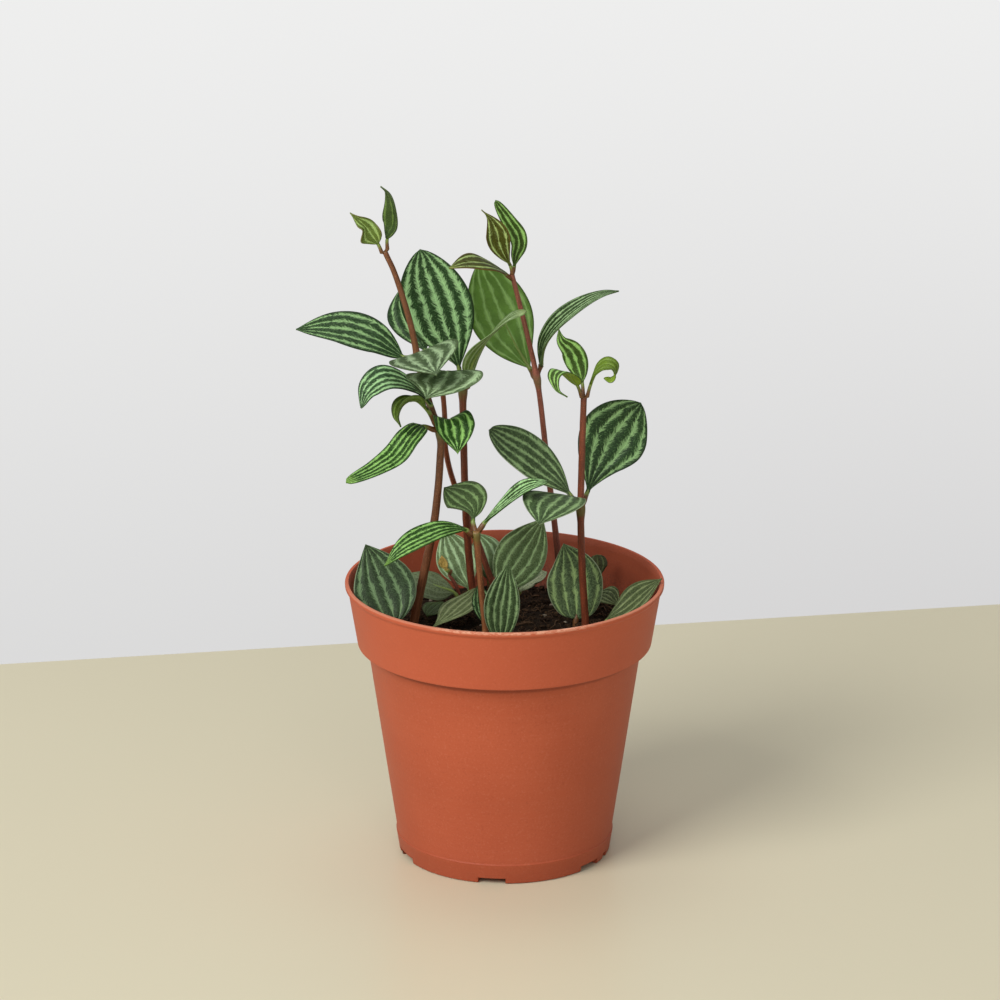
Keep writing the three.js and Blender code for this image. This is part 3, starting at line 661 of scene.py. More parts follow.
@dataclass(frozen=True)
class StalkFinish:
    """The skin of stems and stalks: red-brown and speckled, green at the joints."""

    name: str
    ripe: Colour
    dark: Colour
    fresh: Colour

    def build(self, effects: SharedEffects) -> bpy.types.Material:
        """Makes the material.

        Args:
            effects: The shared node groups.

        Returns:
            The finished material.
        """
        material, board = start_material(self.name)
        skin = board.attribute("skin")
        _, freshness, _ = board.split(board.attribute("blade"))
        grain, blotch = effects.spots(board, skin, 2.2, 0.35)
        streaks = board.cloud(board.stretch(skin, (1.6, 1.6, 0.12)), 1.0, 2.0)
        colour = board.mix(board.step(streaks, 0.35, 0.7), self.dark, self.ripe)
        colour = board.tint(colour, scaled(self.ripe, (1.9,)), board.step(grain, 0.56, 0.66), 0.5)
        uneven = board.plus(freshness, board.less(blotch, 0.5))
        colour = board.mix(board.step(uneven, 0.2, 0.85), colour, self.fresh)
        board.surface(colour, 0.42, normal=board.bump(board.plus(grain, streaks), 0.35, 0.25))
        return material


class StalkTone(Enum):
    """The stalk finishes."""

    RED = StalkFinish("stem_red", (0.210, 0.050, 0.021), (0.130, 0.031, 0.013), (0.130, 0.105, 0.024))
    BROWN = StalkFinish("stem_brown", (0.210, 0.076, 0.030), (0.140, 0.048, 0.018), (0.140, 0.120, 0.028))
    # The red stem lightened: painted light standing in for the lit middle of the stem
    ROSE = StalkFinish("stem_rose", (0.300, 0.085, 0.042), (0.190, 0.052, 0.024), (0.160, 0.110, 0.030))
    # The red stem lightened to tan: painted light on a stem in the leaves' shade
    TAN = StalkFinish("stem_tan", (0.360, 0.140, 0.056), (0.230, 0.085, 0.032), (0.170, 0.150, 0.036))
    PINK = StalkFinish("stem_pink", (0.320, 0.100, 0.066), (0.210, 0.060, 0.038), (0.180, 0.120, 0.050))
    LEAF_STALK = StalkFinish(
        "stalk_skin", (0.190, 0.080, 0.026), (0.120, 0.050, 0.016), (0.200, 0.280, 0.060)
    )


@dataclass(frozen=True)
class PlasticFinish:
    """Terracotta-coloured moulded plastic, its lip scuffed, with a painted highlight on the lip's front
    and painted shade on the outside, and its inside stained by soil.
    """

    name: str
    body: Colour = (0.465, 0.094, 0.040)
    warm: Colour = (0.490, 0.102, 0.044)
    # chalk: pale flecks and moulding lines, and the painted highlight on the lip
    chalk_and_highlight: Colour = (0.800, 0.400, 0.260)
    # low: a dark tone for the plastic's dark specks and for the painted shade on the outside
    low: Colour = (0.180, 0.034, 0.015)
    # faded: a paler tone laid on the collar
    faded: Colour = (0.590, 0.122, 0.056)
    dirt: Colour = (0.085, 0.030, 0.016)
    inside: bool = False

    def build(self, effects: SharedEffects) -> bpy.types.Material:
        """Makes the material.

        Args:
            effects: The shared node groups.

        Returns:
            The finished material.
        """
        material, board = start_material(self.name)
        place = board.place()
        grain, blotch = effects.spots(board, place, 1.4, 0.035)
        colour = board.mix(board.step(blotch, 0.35, 0.65), self.body, self.warm)
        rings = board.cloud(board.stretch(place, (0.01, 0.01, 1.3)), 1.0, 3.0)
        colour = board.tint(colour, self.chalk_and_highlight, board.step(rings, 0.45, 0.7), 0.012)
        colour = board.tint(colour, self.chalk_and_highlight, board.step(grain, 0.56, 0.68), 0.07)
        colour = board.tint(colour, self.low, board.step(grain, 0.42, 0.30), 0.16)
        height = board.times(grain, 0.9)
        if self.inside:
            colour = self.stain(board, colour, place, grain, blotch)
        else:
            # The lip's front edge gets a painted highlight, with chips
            scuffs_and_highlight = self.scuffs_and_highlight(board, place)
            colour = board.tint(self.shade(board, colour, place), self.chalk_and_highlight, scuffs_and_highlight, 0.85)
            height = board.plus(height, board.times(scuffs_and_highlight, 1.5))
        rough = board.math("MULTIPLY_ADD", grain, 0.2, 0.42)
        board.surface(colour, rough, 0.25, board.bump(height, 0.22, 0.3))
        return material

    def stain(self, board: Board, colour: Socket, place: Socket, grain: Socket, blotch: Socket) -> Socket:
        """The inside's colour, dirty all over and crusted near the soil.

        Args:
            board: The material's board.
            colour: The plastic's colour.
            place: The spot in millimetres.
            grain: The fine grain.
            blotch: The wide blotches.

        Returns:
            The stained colour.
        """
        colour = board.mix(0.3, colour, self.dirt)
        level = board.plus(board.split(place)[2], board.times(blotch, 14.0))
        crust = board.times(board.step(level, RIM_HEIGHT, 83.0), board.step(grain, 0.38, 0.62))
        return board.tint(colour, self.dirt, crust, 0.75)

    def shade(self, board: Board, colour: Socket, place: Socket) -> Socket:
        """The outside's colour, with painted shade darker towards the foot, below the skirt's step and in
        a line just under the collar, and paler on the collar.

        Args:
            board: The material's board.
            colour: The plastic's colour.
            place: The spot in millimetres.

        Returns:
            The shaded colour.
        """
        z = board.split(place)[2]
        collar = board.step(z, COLLAR_HEIGHT - 0.7, COLLAR_HEIGHT + 1.0)
        # A painted shadow line just under the collar's edge
        collar_shadow = board.step(board.away(z, COLLAR_HEIGHT - 1.1), 1.6, 0.7)
        # Painted shade, darker towards the foot
        colour = board.tint(colour, self.low, board.step(z, 62.0, 0.0), 0.2)
        # A paler tone on the collar
        colour = board.tint(colour, self.faded, collar, 0.4)
        # More painted shade below the skirt's step, near the floor
        colour = board.tint(colour, self.low, board.step(z, SKIRT_HEIGHT + 2.0, SKIRT_HEIGHT - 2.0), 0.12)
        # Darkens the painted shadow line under the collar
        return board.tint(colour, self.low, collar_shadow, 0.5)

    @staticmethod
    def scuffs_and_highlight(board: Board, place: Socket) -> Socket:
        """A mask of the lip's front edge: a painted highlight along its top, with chips and painted glints
        near its middle, on the front only.

        Args:
            board: The material's board.
            place: The spot in millimetres.

        Returns:
            The mask.
        """
        x, y, z = board.split(place)
        chips = board.cloud(board.stretch(place, (0.5, 0.5, 1.6)), 1.0, 3.0, 0.7)
        middle = board.step(board.away(x, 3.0), 32.0, 20.0)
        top = board.step(z, RIM_HEIGHT - 1.1, RIM_HEIGHT - 0.2)
        # Chips and painted glints on the lip's top, near the middle
        chips_and_glint = board.times(top, board.step(chips, 0.4, 0.56), middle)
        # A painted highlight along the lip's top edge
        line = board.times(board.step(z, RIM_HEIGHT - 0.6, RIM_HEIGHT - 0.05), 0.45)
        # Both only on the front of the pot
        return board.times(board.math("MAXIMUM", chips_and_glint, line), board.step(y, 12.0, -25.0))


class Plastic(Enum):
    """The two sides of the pot."""

    OUTSIDE = PlasticFinish("pot_plastic")
    INSIDE = PlasticFinish("pot_plastic_inside", inside=True)


@dataclass(frozen=True)
class SoilFinish:
    """Dark crumbly potting mix, its crumbs or its pale fibres."""

    name: str
    dark: Colour
    light: Colour
    rough: float = 0.95

    def build(self, effects: SharedEffects) -> bpy.types.Material:
        """Makes the material.

        Args:
            effects: The shared node groups.

        Returns:
            The finished material.
        """
        material, board = start_material(self.name)
        grain, blotch = effects.spots(board, board.place(), 1.6, 0.3)
        share = board.times(board.step(grain, 0.42, 0.7), board.step(blotch, 0.35, 0.65))
        colour = board.mix(share, self.dark, self.light)
        board.surface(colour, self.rough, 0.2, board.bump(grain, 0.9, 0.8))
        return material


class Earth(Enum):
    """The parts of the potting mix."""

    BED = SoilFinish("soil_bed", (0.013, 0.007, 0.003), (0.070, 0.036, 0.016))
    CRUMB = SoilFinish("soil_crumb", (0.020, 0.010, 0.005), (0.110, 0.060, 0.026))
    FIBRE = SoilFinish("soil_fibre", (0.090, 0.050, 0.026), (0.240, 0.150, 0.085), 0.8)
    CHIP = SoilFinish("soil_chip", (0.300, 0.250, 0.190), (0.520, 0.460, 0.380), 0.8)


@dataclass(frozen=True)
class FloorFinish:
    """Pale painted board with a faint satin sheen."""

    name: str = "floor_board"
    colour: Colour = (0.735, 0.680, 0.500)

    def build(self, effects: SharedEffects) -> bpy.types.Material:
        """Makes the material.

        Args:
            effects: The shared node groups.

        Returns:
            The finished material.
        """
        material, board = start_material(self.name)
        _, blotch = effects.spots(board, board.place(), 0.32, 0.004)
        board.surface(board.mix(blotch, scaled(self.colour, (0.97,)), self.colour), 0.36)
        return material


class Palette:
    """Builds each finish once and hands it out."""

    def __init__(self) -> None:
        """Starts with the shared effects and nothing built."""
        self.effects = SharedEffects()
        self.built: dict[str, bpy.types.Material] = {}

    def get(self, finish: object) -> bpy.types.Material:
        """The material of a finish.

        Args:
            finish: A finish, or an Enum member that holds one.

        Returns:
            Its material.
        """
        recipe = finish.value if isinstance(finish, Enum) else finish
        if recipe.name not in self.built:
            self.built[recipe.name] = recipe.build(self.effects)
        return self.built[recipe.name]


# Curves and meshes


class RibCurve:
    """A smooth curve through points, measured by its length."""

    SAMPLES = 40
    REACH = 0.008

    def __init__(self, points: Sequence[Point]) -> None:
        """Samples the curve.

        Args:
            points: The points that it passes, in millimetres.
        """
        self.points = [Vector(point) for point in points]
        spans = len(self.points) - 1
        self.line = [self.spot(k / self.SAMPLES) for k in range(spans * self.SAMPLES + 1)]
        self.marks = [0.0]
        for before, after in zip(self.line, self.line[1:]):
            self.marks.append(self.marks[-1] + (after - before).length)

    @property
    def length(self) -> float:
        """The whole length."""
        return self.marks[-1]

    def spot(self, place: float) -> Vector:
        """A point of the curve, which is eased by the roots of the gaps so that it never loops.

        Args:
            place: The place along the curve, counted in spans.

        Returns:
            The point.
        """
        points = self.points
        span = min(int(place), len(points) - 2)
        share = place - span
        second, third = points[span], points[span + 1]
        first = points[span - 1] if span > 0 else 2 * second - third
        fourth = points[span + 2] if span + 2 < len(points) else 2 * third - second
        gap = (third - second).length ** 0.5
        before = (second - first).length ** 0.5
        after = (fourth - third).length ** 0.5
        leave = (second - first) / before - (third - first) / (before + gap) + (third - second) / gap
        arrive = (third - second) / gap - (fourth - second) / (gap + after) + (fourth - third) / after
        leave, arrive = leave * gap, arrive * gap
        square = 3 * (third - second) - 2 * leave - arrive
        cube = 2 * (second - third) + leave + arrive
        return second + leave * share + square * share ** 2 + cube * share ** 3

    def mark(self, index: int) -> float:
        """The length at which the curve passes one of its points."""
        return self.marks[index * self.SAMPLES]

    def at(self, distance: float) -> Vector:
        """The point at a length along the curve.

        Args:
            distance: The length from the start.

        Returns:
            The point, which is an end of the curve if the length lies past it.
        """
        distance = min(max(distance, 0.0), self.length)
        low = min(bisect_right(self.marks, distance), len(self.marks) - 1) - 1
        share = (distance - self.marks[low]) / (self.marks[low + 1] - self.marks[low])
        return self.line[low].lerp(self.line[low + 1], share)

    def along(self, distance: float) -> Vector:
        """The direction at a length along the curve."""
        reach = self.length * self.REACH
        return (self.at(distance + reach) - self.at(distance - reach)).normalized()


def finish_mesh(mesh: bmesh.types.BMesh, name: str, materials: Sequence[bpy.types.Material],
                sharp: Optional[float] = None) -> bpy.types.Object:
    """Turns a bmesh in millimetres into an object in metres.

    Args:
        mesh: The bmesh, which is freed.
        name: The object's name.
        materials: The materials of its slots.
        sharp: The angle in degrees past which an edge is sharp, or None for all smooth.

    Returns:
        The new object.
    """
    bmesh.ops.scale(mesh, vec=(MM, MM, MM), verts=mesh.verts[:])
    data = bpy.data.meshes.new(name)
    mesh.to_mesh(data)
    mesh.free()
    data.shade_smooth()
    if sharp is not None:
        data.set_sharp_from_angle(angle=math.radians(sharp))
    for material in materials:
        data.materials.append(material)
    thing = bpy.data.objects.new(name, data)
    bpy.context.scene.collection.objects.link(thing)
    return thing


def place_piece(thing: bpy.types.Object, slot: str, *nodes: str) -> None:
    """Fixes a piece to the plant and hides the solids it stands for.

    Args:
        thing: The piece.
        slot: Not used.
        nodes: The solids that it stands for.
    """
    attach(thing, "root")
    if nodes:
        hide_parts(*nodes)
    LOG.info("%s: %d faces", thing.name, len(thing.data.polygons))


@dataclass(frozen=True)
class Ring:
    """One ring of a tube: its middle, the way it faces, its radius, how far along and how green."""

    centre: Vector
    along: Vector
    radius: float
    distance: float
    freshness: float = 0.0


def make_tube(rings: Sequence[Ring], sides: int, ripple: float = 0.0) -> bmesh.types.BMesh:
    """Extrudes a circle from ring to ring.

    Args:
        rings: The rings from one end to the other.
        sides: How many sides the circle has.
        ripple: How far the skin swells in and out, as a share of the radius.

    Returns:
        A closed tube that carries its skin and freshness.
    """
    mesh = bmesh.new()
    skin = mesh.verts.layers.float_vector.new("skin")
    grade = mesh.verts.layers.float_vector.new("blade")
    current = bmesh.ops.create_circle(mesh, cap_ends=False, segments=sides, radius=1.0)["verts"]
    directions = [vertex.co.copy() for vertex in current]
    loop = mesh.edges[:]
    side = rings[0].along.orthogonal().normalized()
    for number, ring in enumerate(rings):
        side = (side - ring.along * side.dot(ring.along)).normalized()
        up = ring.along.cross(side)
        if number:
            grown = bmesh.ops.extrude_edge_only(mesh, edges=loop)["geom"]
            fresh = {item for item in grown if isinstance(item, bmesh.types.BMVert)}
            loop = [item for item in grown
                    if isinstance(item, bmesh.types.BMEdge) and set(item.verts) <= fresh]
            neighbours = [[edge.other_vert(vertex) for edge in vertex.link_edges] for vertex in current]
            current = [next(vertex for vertex in near if vertex in fresh) for near in neighbours]
        for vertex, direction in zip(current, directions):
            turn = side * direction.x + up * direction.y
            swell = noise.noise(turn * 1.3 + Vector((0.0, 0.0, ring.distance * 0.35)))
            vertex.co = ring.centre + turn * ring.radius * (1.0 + ripple * swell)
            vertex[skin] = (direction.x * ring.radius, direction.y * ring.radius, ring.distance)
            vertex[grade] = (0.0, ring.freshness, ring.radius)
    bmesh.ops.holes_fill(mesh, edges=[edge for edge in mesh.edges if edge.is_boundary], sides=0)
    bmesh.ops.recalc_face_normals(mesh, faces=mesh.faces[:])
    return mesh


def turn_profile(profile: Sequence[tuple[float, float]], steps: int) -> bmesh.types.BMesh:
    """Turns an outline about Z.

    Args:
        profile: The outline's radius and height pairs, from the axis and back to it.
        steps: How many steps the turn has.

    Returns:
        A closed solid.
    """
    mesh = bmesh.new()
    points = [mesh.verts.new((radius, 0.0, height)) for radius, height in profile]
    edges = [mesh.edges.new(pair) for pair in zip(points, points[1:])]
    bmesh.ops.spin(mesh, geom=[*points, *edges], axis=(0, 0, 1), cent=(0, 0, 0), angle=math.tau,
                   steps=steps, use_merge=True)
    bmesh.ops.remove_doubles(mesh, verts=mesh.verts[:], dist=1e-4)
    bmesh.ops.recalc_face_normals(mesh, faces=mesh.faces[:])
    return mesh


def disc_spot(dice: random.Random, reach: float) -> tuple[float, float]:
    """A random spot on a disc about the axis.

    Args:
        dice: The random numbers.
        reach: The disc's radius.

    Returns:
        The spot's x and y.
    """
    away = reach * math.sqrt(dice.random())
    angle = dice.uniform(0, math.tau)
    return away * math.cos(angle), away * math.sin(angle)


def soil_level(x: float, y: float) -> float:
    """The height of the soil's plain crowned top at a spot."""
    return SOIL_EDGE + SOIL_CROWN * math.cos(math.pi / 2 * math.hypot(x, y) / CROWN_REACH)


def rooted(x: float, y: float, level: float) -> list[Point]:
    """The points of a stem or stalk that rises through the soil, whose top is at a level."""
    return [(x, y, level - ROOT_DEPTH), (x, y, level - ROOT_DEPTH / 2), (x, y, level + ROOT_RISE)]


# Pot


@dataclass
class Pot:
    """The tapered nursery pot, turned from one profile. Sizes are in millimetres."""

    height: float = RIM_HEIGHT
    wall: float = 1.2
    foot_radius: float = 35.8
    taper: float = 0.1447
    skirt_height: float = SKIRT_HEIGHT
    skirt_step: float = 0.35
    collar_height: float = COLLAR_HEIGHT
    collar_foot: float = 49.9
    collar_top: float = 53.0
    lip_radius: float = 54.0
    lip_height: float = 1.5
    lip_width: float = 1.5
    base: float = 3.4
    steps: int = 240
    wide_notches: tuple[float, ...] = (-67.0, -7.0, 53.0, 113.0, 173.0, 233.0)
    narrow_notches: tuple[float, ...] = (-77.0, 70.0)
    wide_angle: float = 15.0
    narrow_angle: float = 5.0
    notch_height: float = 2.0
    notch_inner: float = 23.0
    drain_radius: float = 2.6
    drain_at: float = 29.0
    cut_past: float = 1.0
    sharp: float = 38.0
    inward: float = 0.2
    stained_from: float = 1.05

    def body(self, height: float) -> float:
        """The body's outer radius at a height."""
        return self.foot_radius + self.taper * height

    def profile(self) -> list[tuple[float, float]]:
        """The outline of the wall from the middle of the underside to the middle of the floor.

        Returns:
            Radius and height pairs.
        """
        skirt = self.skirt_height
        collar = self.collar_height
        foot = self.body(0) + self.skirt_step
        lip_foot = self.height - self.lip_height
        inner_lip = self.lip_radius - self.lip_width
        shoulder = collar + self.wall
        return [
            (0.0, 0.0),
            (12.0, 0.0),
            (24.0, 0.0),
            (foot - 0.5, 0.0),
            (foot - 0.12, 0.14),
            (foot + 0.03, 0.55),
            (self.body(skirt) + self.skirt_step, skirt - 0.1),
            (self.body(skirt) + 0.1, skirt + 0.1),
            (self.body(skirt), skirt + 0.4),
            (self.body(30.0), 30.0),
            (self.body(55.0), 55.0),
            (self.body(collar - 1.0), collar - 1.0),
            (self.body(collar) + 0.25, collar - 0.2),
            (self.body(collar) + 0.8, collar),
            (self.collar_foot - 0.35, collar),
            (self.collar_foot - 0.05, collar + 0.15),
            (self.collar_foot + 0.05, collar + 0.6),
            (self.collar_top - 0.08, lip_foot - 1.2),
            (self.collar_top + 0.15, lip_foot - 0.5),
            (self.lip_radius - 0.3, lip_foot - 0.1),
            (self.lip_radius - 0.05, lip_foot + 0.25),
            (self.lip_radius, self.height - 0.5),
            (self.lip_radius - 0.15, self.height - 0.15),
            (self.lip_radius - 0.5, self.height),
            (inner_lip + 0.3, self.height),
            (inner_lip + 0.05, self.height - 0.2),
            (self.collar_top - self.wall, lip_foot - 1.0),
            (self.collar_foot - self.wall, shoulder + 0.4),
            (self.collar_foot - self.wall - 0.4, shoulder),
            (self.body(shoulder) - self.wall, shoulder),
            (self.body(40.0) - self.wall, 40.0),
            (self.body(self.base) - self.wall, self.base),
            (15.0, self.base),
            (0.0, self.base),
        ]

    def wedge(self, turn: float, angle: float) -> bmesh.types.BMesh:
        """A cutter for one foot notch.

        Args:
            turn: Where the notch stands, in degrees from the front towards +X.
            angle: How wide it is, in degrees.

        Returns:
            The cutter.
        """
        mesh = bmesh.new()
        below, outer = -self.cut_past, self.foot_radius + 3 * self.cut_past
        corners = [(self.notch_inner, below), (outer, below),
                   (outer, self.notch_height), (self.notch_inner, self.notch_height)]
        start = math.radians(turn - angle / 2 - 90.0)
        ring = [mesh.verts.new((r * math.cos(start), r * math.sin(start), z)) for r, z in corners]
        face = mesh.faces.new(ring)
        bmesh.ops.spin(mesh, geom=[face, *face.edges, *ring], axis=(0, 0, 1), cent=(0, 0, 0),
                       angle=math.radians(angle), steps=6, use_merge=False)
        bmesh.ops.recalc_face_normals(mesh, faces=mesh.faces[:])
        return mesh

    def drain(self, turn: float) -> bmesh.types.BMesh:
        """A cutter for one drain hole.

        Args:
            turn: Where the hole stands, in degrees from the front towards +X.

        Returns:
            The cutter.
        """
        mesh = bmesh.new()
        bmesh.ops.create_cone(mesh, cap_ends=True, segments=32, radius1=self.drain_radius,
                              radius2=self.drain_radius, depth=3 * self.base)
        angle = math.radians(turn - 90.0)
        place = (self.drain_at * math.cos(angle), self.drain_at * math.sin(angle), 0.0)
        bmesh.ops.translate(mesh, vec=place, verts=mesh.verts[:])
        return mesh

    @staticmethod
    def carve(pot: bpy.types.Object, cutter: bmesh.types.BMesh) -> None:
        """Cuts a shape out of the pot.

        Args:
            pot: The pot, which gets a new mesh.
            cutter: The shape, in millimetres.
        """
        tool = finish_mesh(cutter, "cutter", [])
        cut = pot.modifiers.new("cut", "BOOLEAN")
        cut.operation = "DIFFERENCE"
        cut.solver = "EXACT"
        cut.object = tool
        bpy.context.view_layer.update()
        solid = pot.evaluated_get(bpy.context.evaluated_depsgraph_get())
        data = bpy.data.meshes.new_from_object(solid)
        pot.modifiers.remove(cut)
        pot.data = data
        bpy.data.objects.remove(tool)

    def build(self, palette: Palette) -> None:
        """Turns the pot, cuts its foot and dresses it.

        Args:
            palette: The finishes.
        """
        mesh = turn_profile(self.profile(), self.steps)
        pot = finish_mesh(mesh, "nursery_pot", [palette.get(side) for side in Plastic])
        cutters = [self.wedge(turn, self.wide_angle) for turn in self.wide_notches]
        cutters += [self.wedge(turn, self.narrow_angle) for turn in self.narrow_notches]
        cutters += [self.drain(turn) for turn in self.wide_notches]
        for cutter in cutters:
            self.carve(pot, cutter)
        pot.data.name = pot.name
        for face in pot.data.polygons:
            outward = Vector((face.center.x, face.center.y, 0.0)).normalized()
            inward = face.normal.dot(outward) < -self.inward
            if inward and face.center.z > self.stained_from * self.base * MM:
                face.material_index = 1
        pot.data.shade_smooth()
        pot.data.set_sharp_from_angle(angle=math.radians(self.sharp))
        place_piece(pot, "pot", "pot")


# Soil


@dataclass
class Soil:
    """The potting mix: a rough bed with crumbs, fibres and a few pale chips.

    Each row of roughness is a scale, a layer of the noise and a depth. A pair is a least and a most.
    """

    edge: float = 48.4
    floor: float = 3.7
    floor_radius: float = 34.8
    shoulder: float = 76.0
    shoulder_radius: float = 45.2
    rings: int = 56
    steps: int = 160
    crumbs: int = 1500
    fibres: int = 320
    fibre_rings: int = 7
    chips: int = 38
    seed: int = 11
    sunk: float = 0.5
    roughness: tuple[Point, ...] = ((0.16, 3.0, 1.1), (0.55, 9.0, 0.8), (1.5, 5.0, 0.35))
    chip_size: tuple[float, float] = (0.5, 1.0)
    crumb_least: float = 0.35
    crumb_more: float = 1.15
    crumb_rarity: float = 2.2
    stretch: tuple[float, float] = (0.7, 1.3)
    flatness: tuple[float, float] = (0.5, 0.9)
    jag: float = 0.35
    jag_scale: float = 2.1
    fibre_radius: tuple[float, float] = (0.09, 0.24)
    fibre_step: tuple[float, float] = (0.5, 1.1)
    fibre_bend: float = 0.5

    def build(self, palette: Palette) -> None:
        """Makes the bed and what lies on it.

        Args:
            palette: The finishes.
        """
        self.bed(palette)
        self.scatter(palette)
        self.tangle(palette)

    def height(self, x: float, y: float) -> float:
        """The height of the rough bed.

        Args:
            x: The spot's x.
            y: The spot's y.

        Returns:
            The height of its top there.
        """
        level = soil_level(x, y)
        for scale, layer, depth in self.roughness:
            level += noise.noise(Vector((x * scale, y * scale, layer))) * depth
        return level - self.sunk

    def bed(self, palette: Palette) -> None:
        """Makes the body of the soil, with a rough top.

        Args:
            palette: The finishes.
        """
        profile = [(0.0, self.floor), (self.floor_radius, self.floor),
                   (self.shoulder_radius, self.shoulder), (self.edge, self.shoulder + 0.1)]
        profile += [(self.edge * (1 - k / self.rings), SOIL_EDGE) for k in range(self.rings + 1)]
        mesh = turn_profile(profile, self.steps)
        for vertex in mesh.verts:
            if vertex.co.z > self.shoulder + 0.5:
                vertex.co.z = max(self.height(vertex.co.x, vertex.co.y), self.shoulder + 0.3)
        bed = finish_mesh(mesh, "soil_bed", [palette.get(Earth.BED)], sharp=60.0)
        place_piece(bed, "soil", "soil")

    def scatter(self, palette: Palette) -> None:
        """Presses the crumbs and chips into the bed, as one piece.

        Args:
            palette: The finishes.
        """
        dice = random.Random(self.seed)
        mesh = bmesh.new()
        for number in range(self.crumbs + self.chips):
            chip = number >= self.crumbs
            x, y = disc_spot(dice, self.edge - 1.0)
            if chip:
                size = dice.uniform(*self.chip_size)
            else:
                size = self.crumb_least + self.crumb_more * dice.random() ** self.crumb_rarity
            made = bmesh.ops.create_icosphere(mesh, subdivisions=1, radius=size)["verts"]
            stretch = Vector([dice.uniform(*span) for span in (self.stretch, self.stretch, self.flatness)])
            centre = Vector((x, y, self.height(x, y) + size * 0.25))
            lean = dice.uniform(0, math.tau)
            for vertex in made:
                jag = noise.noise(vertex.co * self.jag_scale + Vector((number, 0.0, 0.0)))
                spot = vertex.co * stretch * (1.0 + self.jag * jag)
                turned = (spot.x * math.cos(lean) - spot.y * math.sin(lean),
                          spot.x * math.sin(lean) + spot.y * math.cos(lean), spot.z)
                vertex.co = centre + Vector(turned)
            for face in {face for vertex in made for face in vertex.link_faces}:
                face.material_index = int(chip)
        crumbs = finish_mesh(mesh, "soil_crumbs", [palette.get(Earth.CRUMB), palette.get(Earth.CHIP)],
                             sharp=50.0)
        place_piece(crumbs, "soil")

    def tangle(self, palette: Palette) -> None:
        """Lays root and coir fibres on the bed, as one piece.

        Args:
            palette: The finishes.
        """
        dice = random.Random(self.seed + 1)
        whole = bmesh.new()
        for _ in range(self.fibres):
            x, y = disc_spot(dice, self.edge - 3.0)
            heading = dice.uniform(0, math.tau)
            rings: list[Ring] = []
            thick = dice.uniform(*self.fibre_radius)
            step = dice.uniform(*self.fibre_step)
            for number in range(self.fibre_rings):
                lift = 0.3 + 0.5 * math.sin(math.pi * number / (self.fibre_rings - 1))
                if math.hypot(x, y) > self.edge - 0.8:
                    break
                ahead = Vector((math.cos(heading), math.sin(heading), 0.0))
                swell = math.sin(math.pi * (number + 0.7) / (self.fibre_rings + 0.4))
                radius = thick * (0.45 + 0.55 * swell)
                rings.append(Ring(Vector((x, y, self.height(x, y) + lift)), ahead, radius, number * step))
                heading += dice.uniform(-self.fibre_bend, self.fibre_bend)
                x, y = x + step * math.cos(heading), y + step * math.sin(heading)
            if len(rings) < 3:
                continue
            part = make_tube(rings, 5)
            strand = bpy.data.meshes.new("strand")
            part.to_mesh(strand)
            part.free()
            whole.from_mesh(strand)
            bpy.data.meshes.remove(strand)
        fibres = finish_mesh(whole, "soil_fibres", [palette.get(Earth.FIBRE)])
        place_piece(fibres, "soil")


# Stems


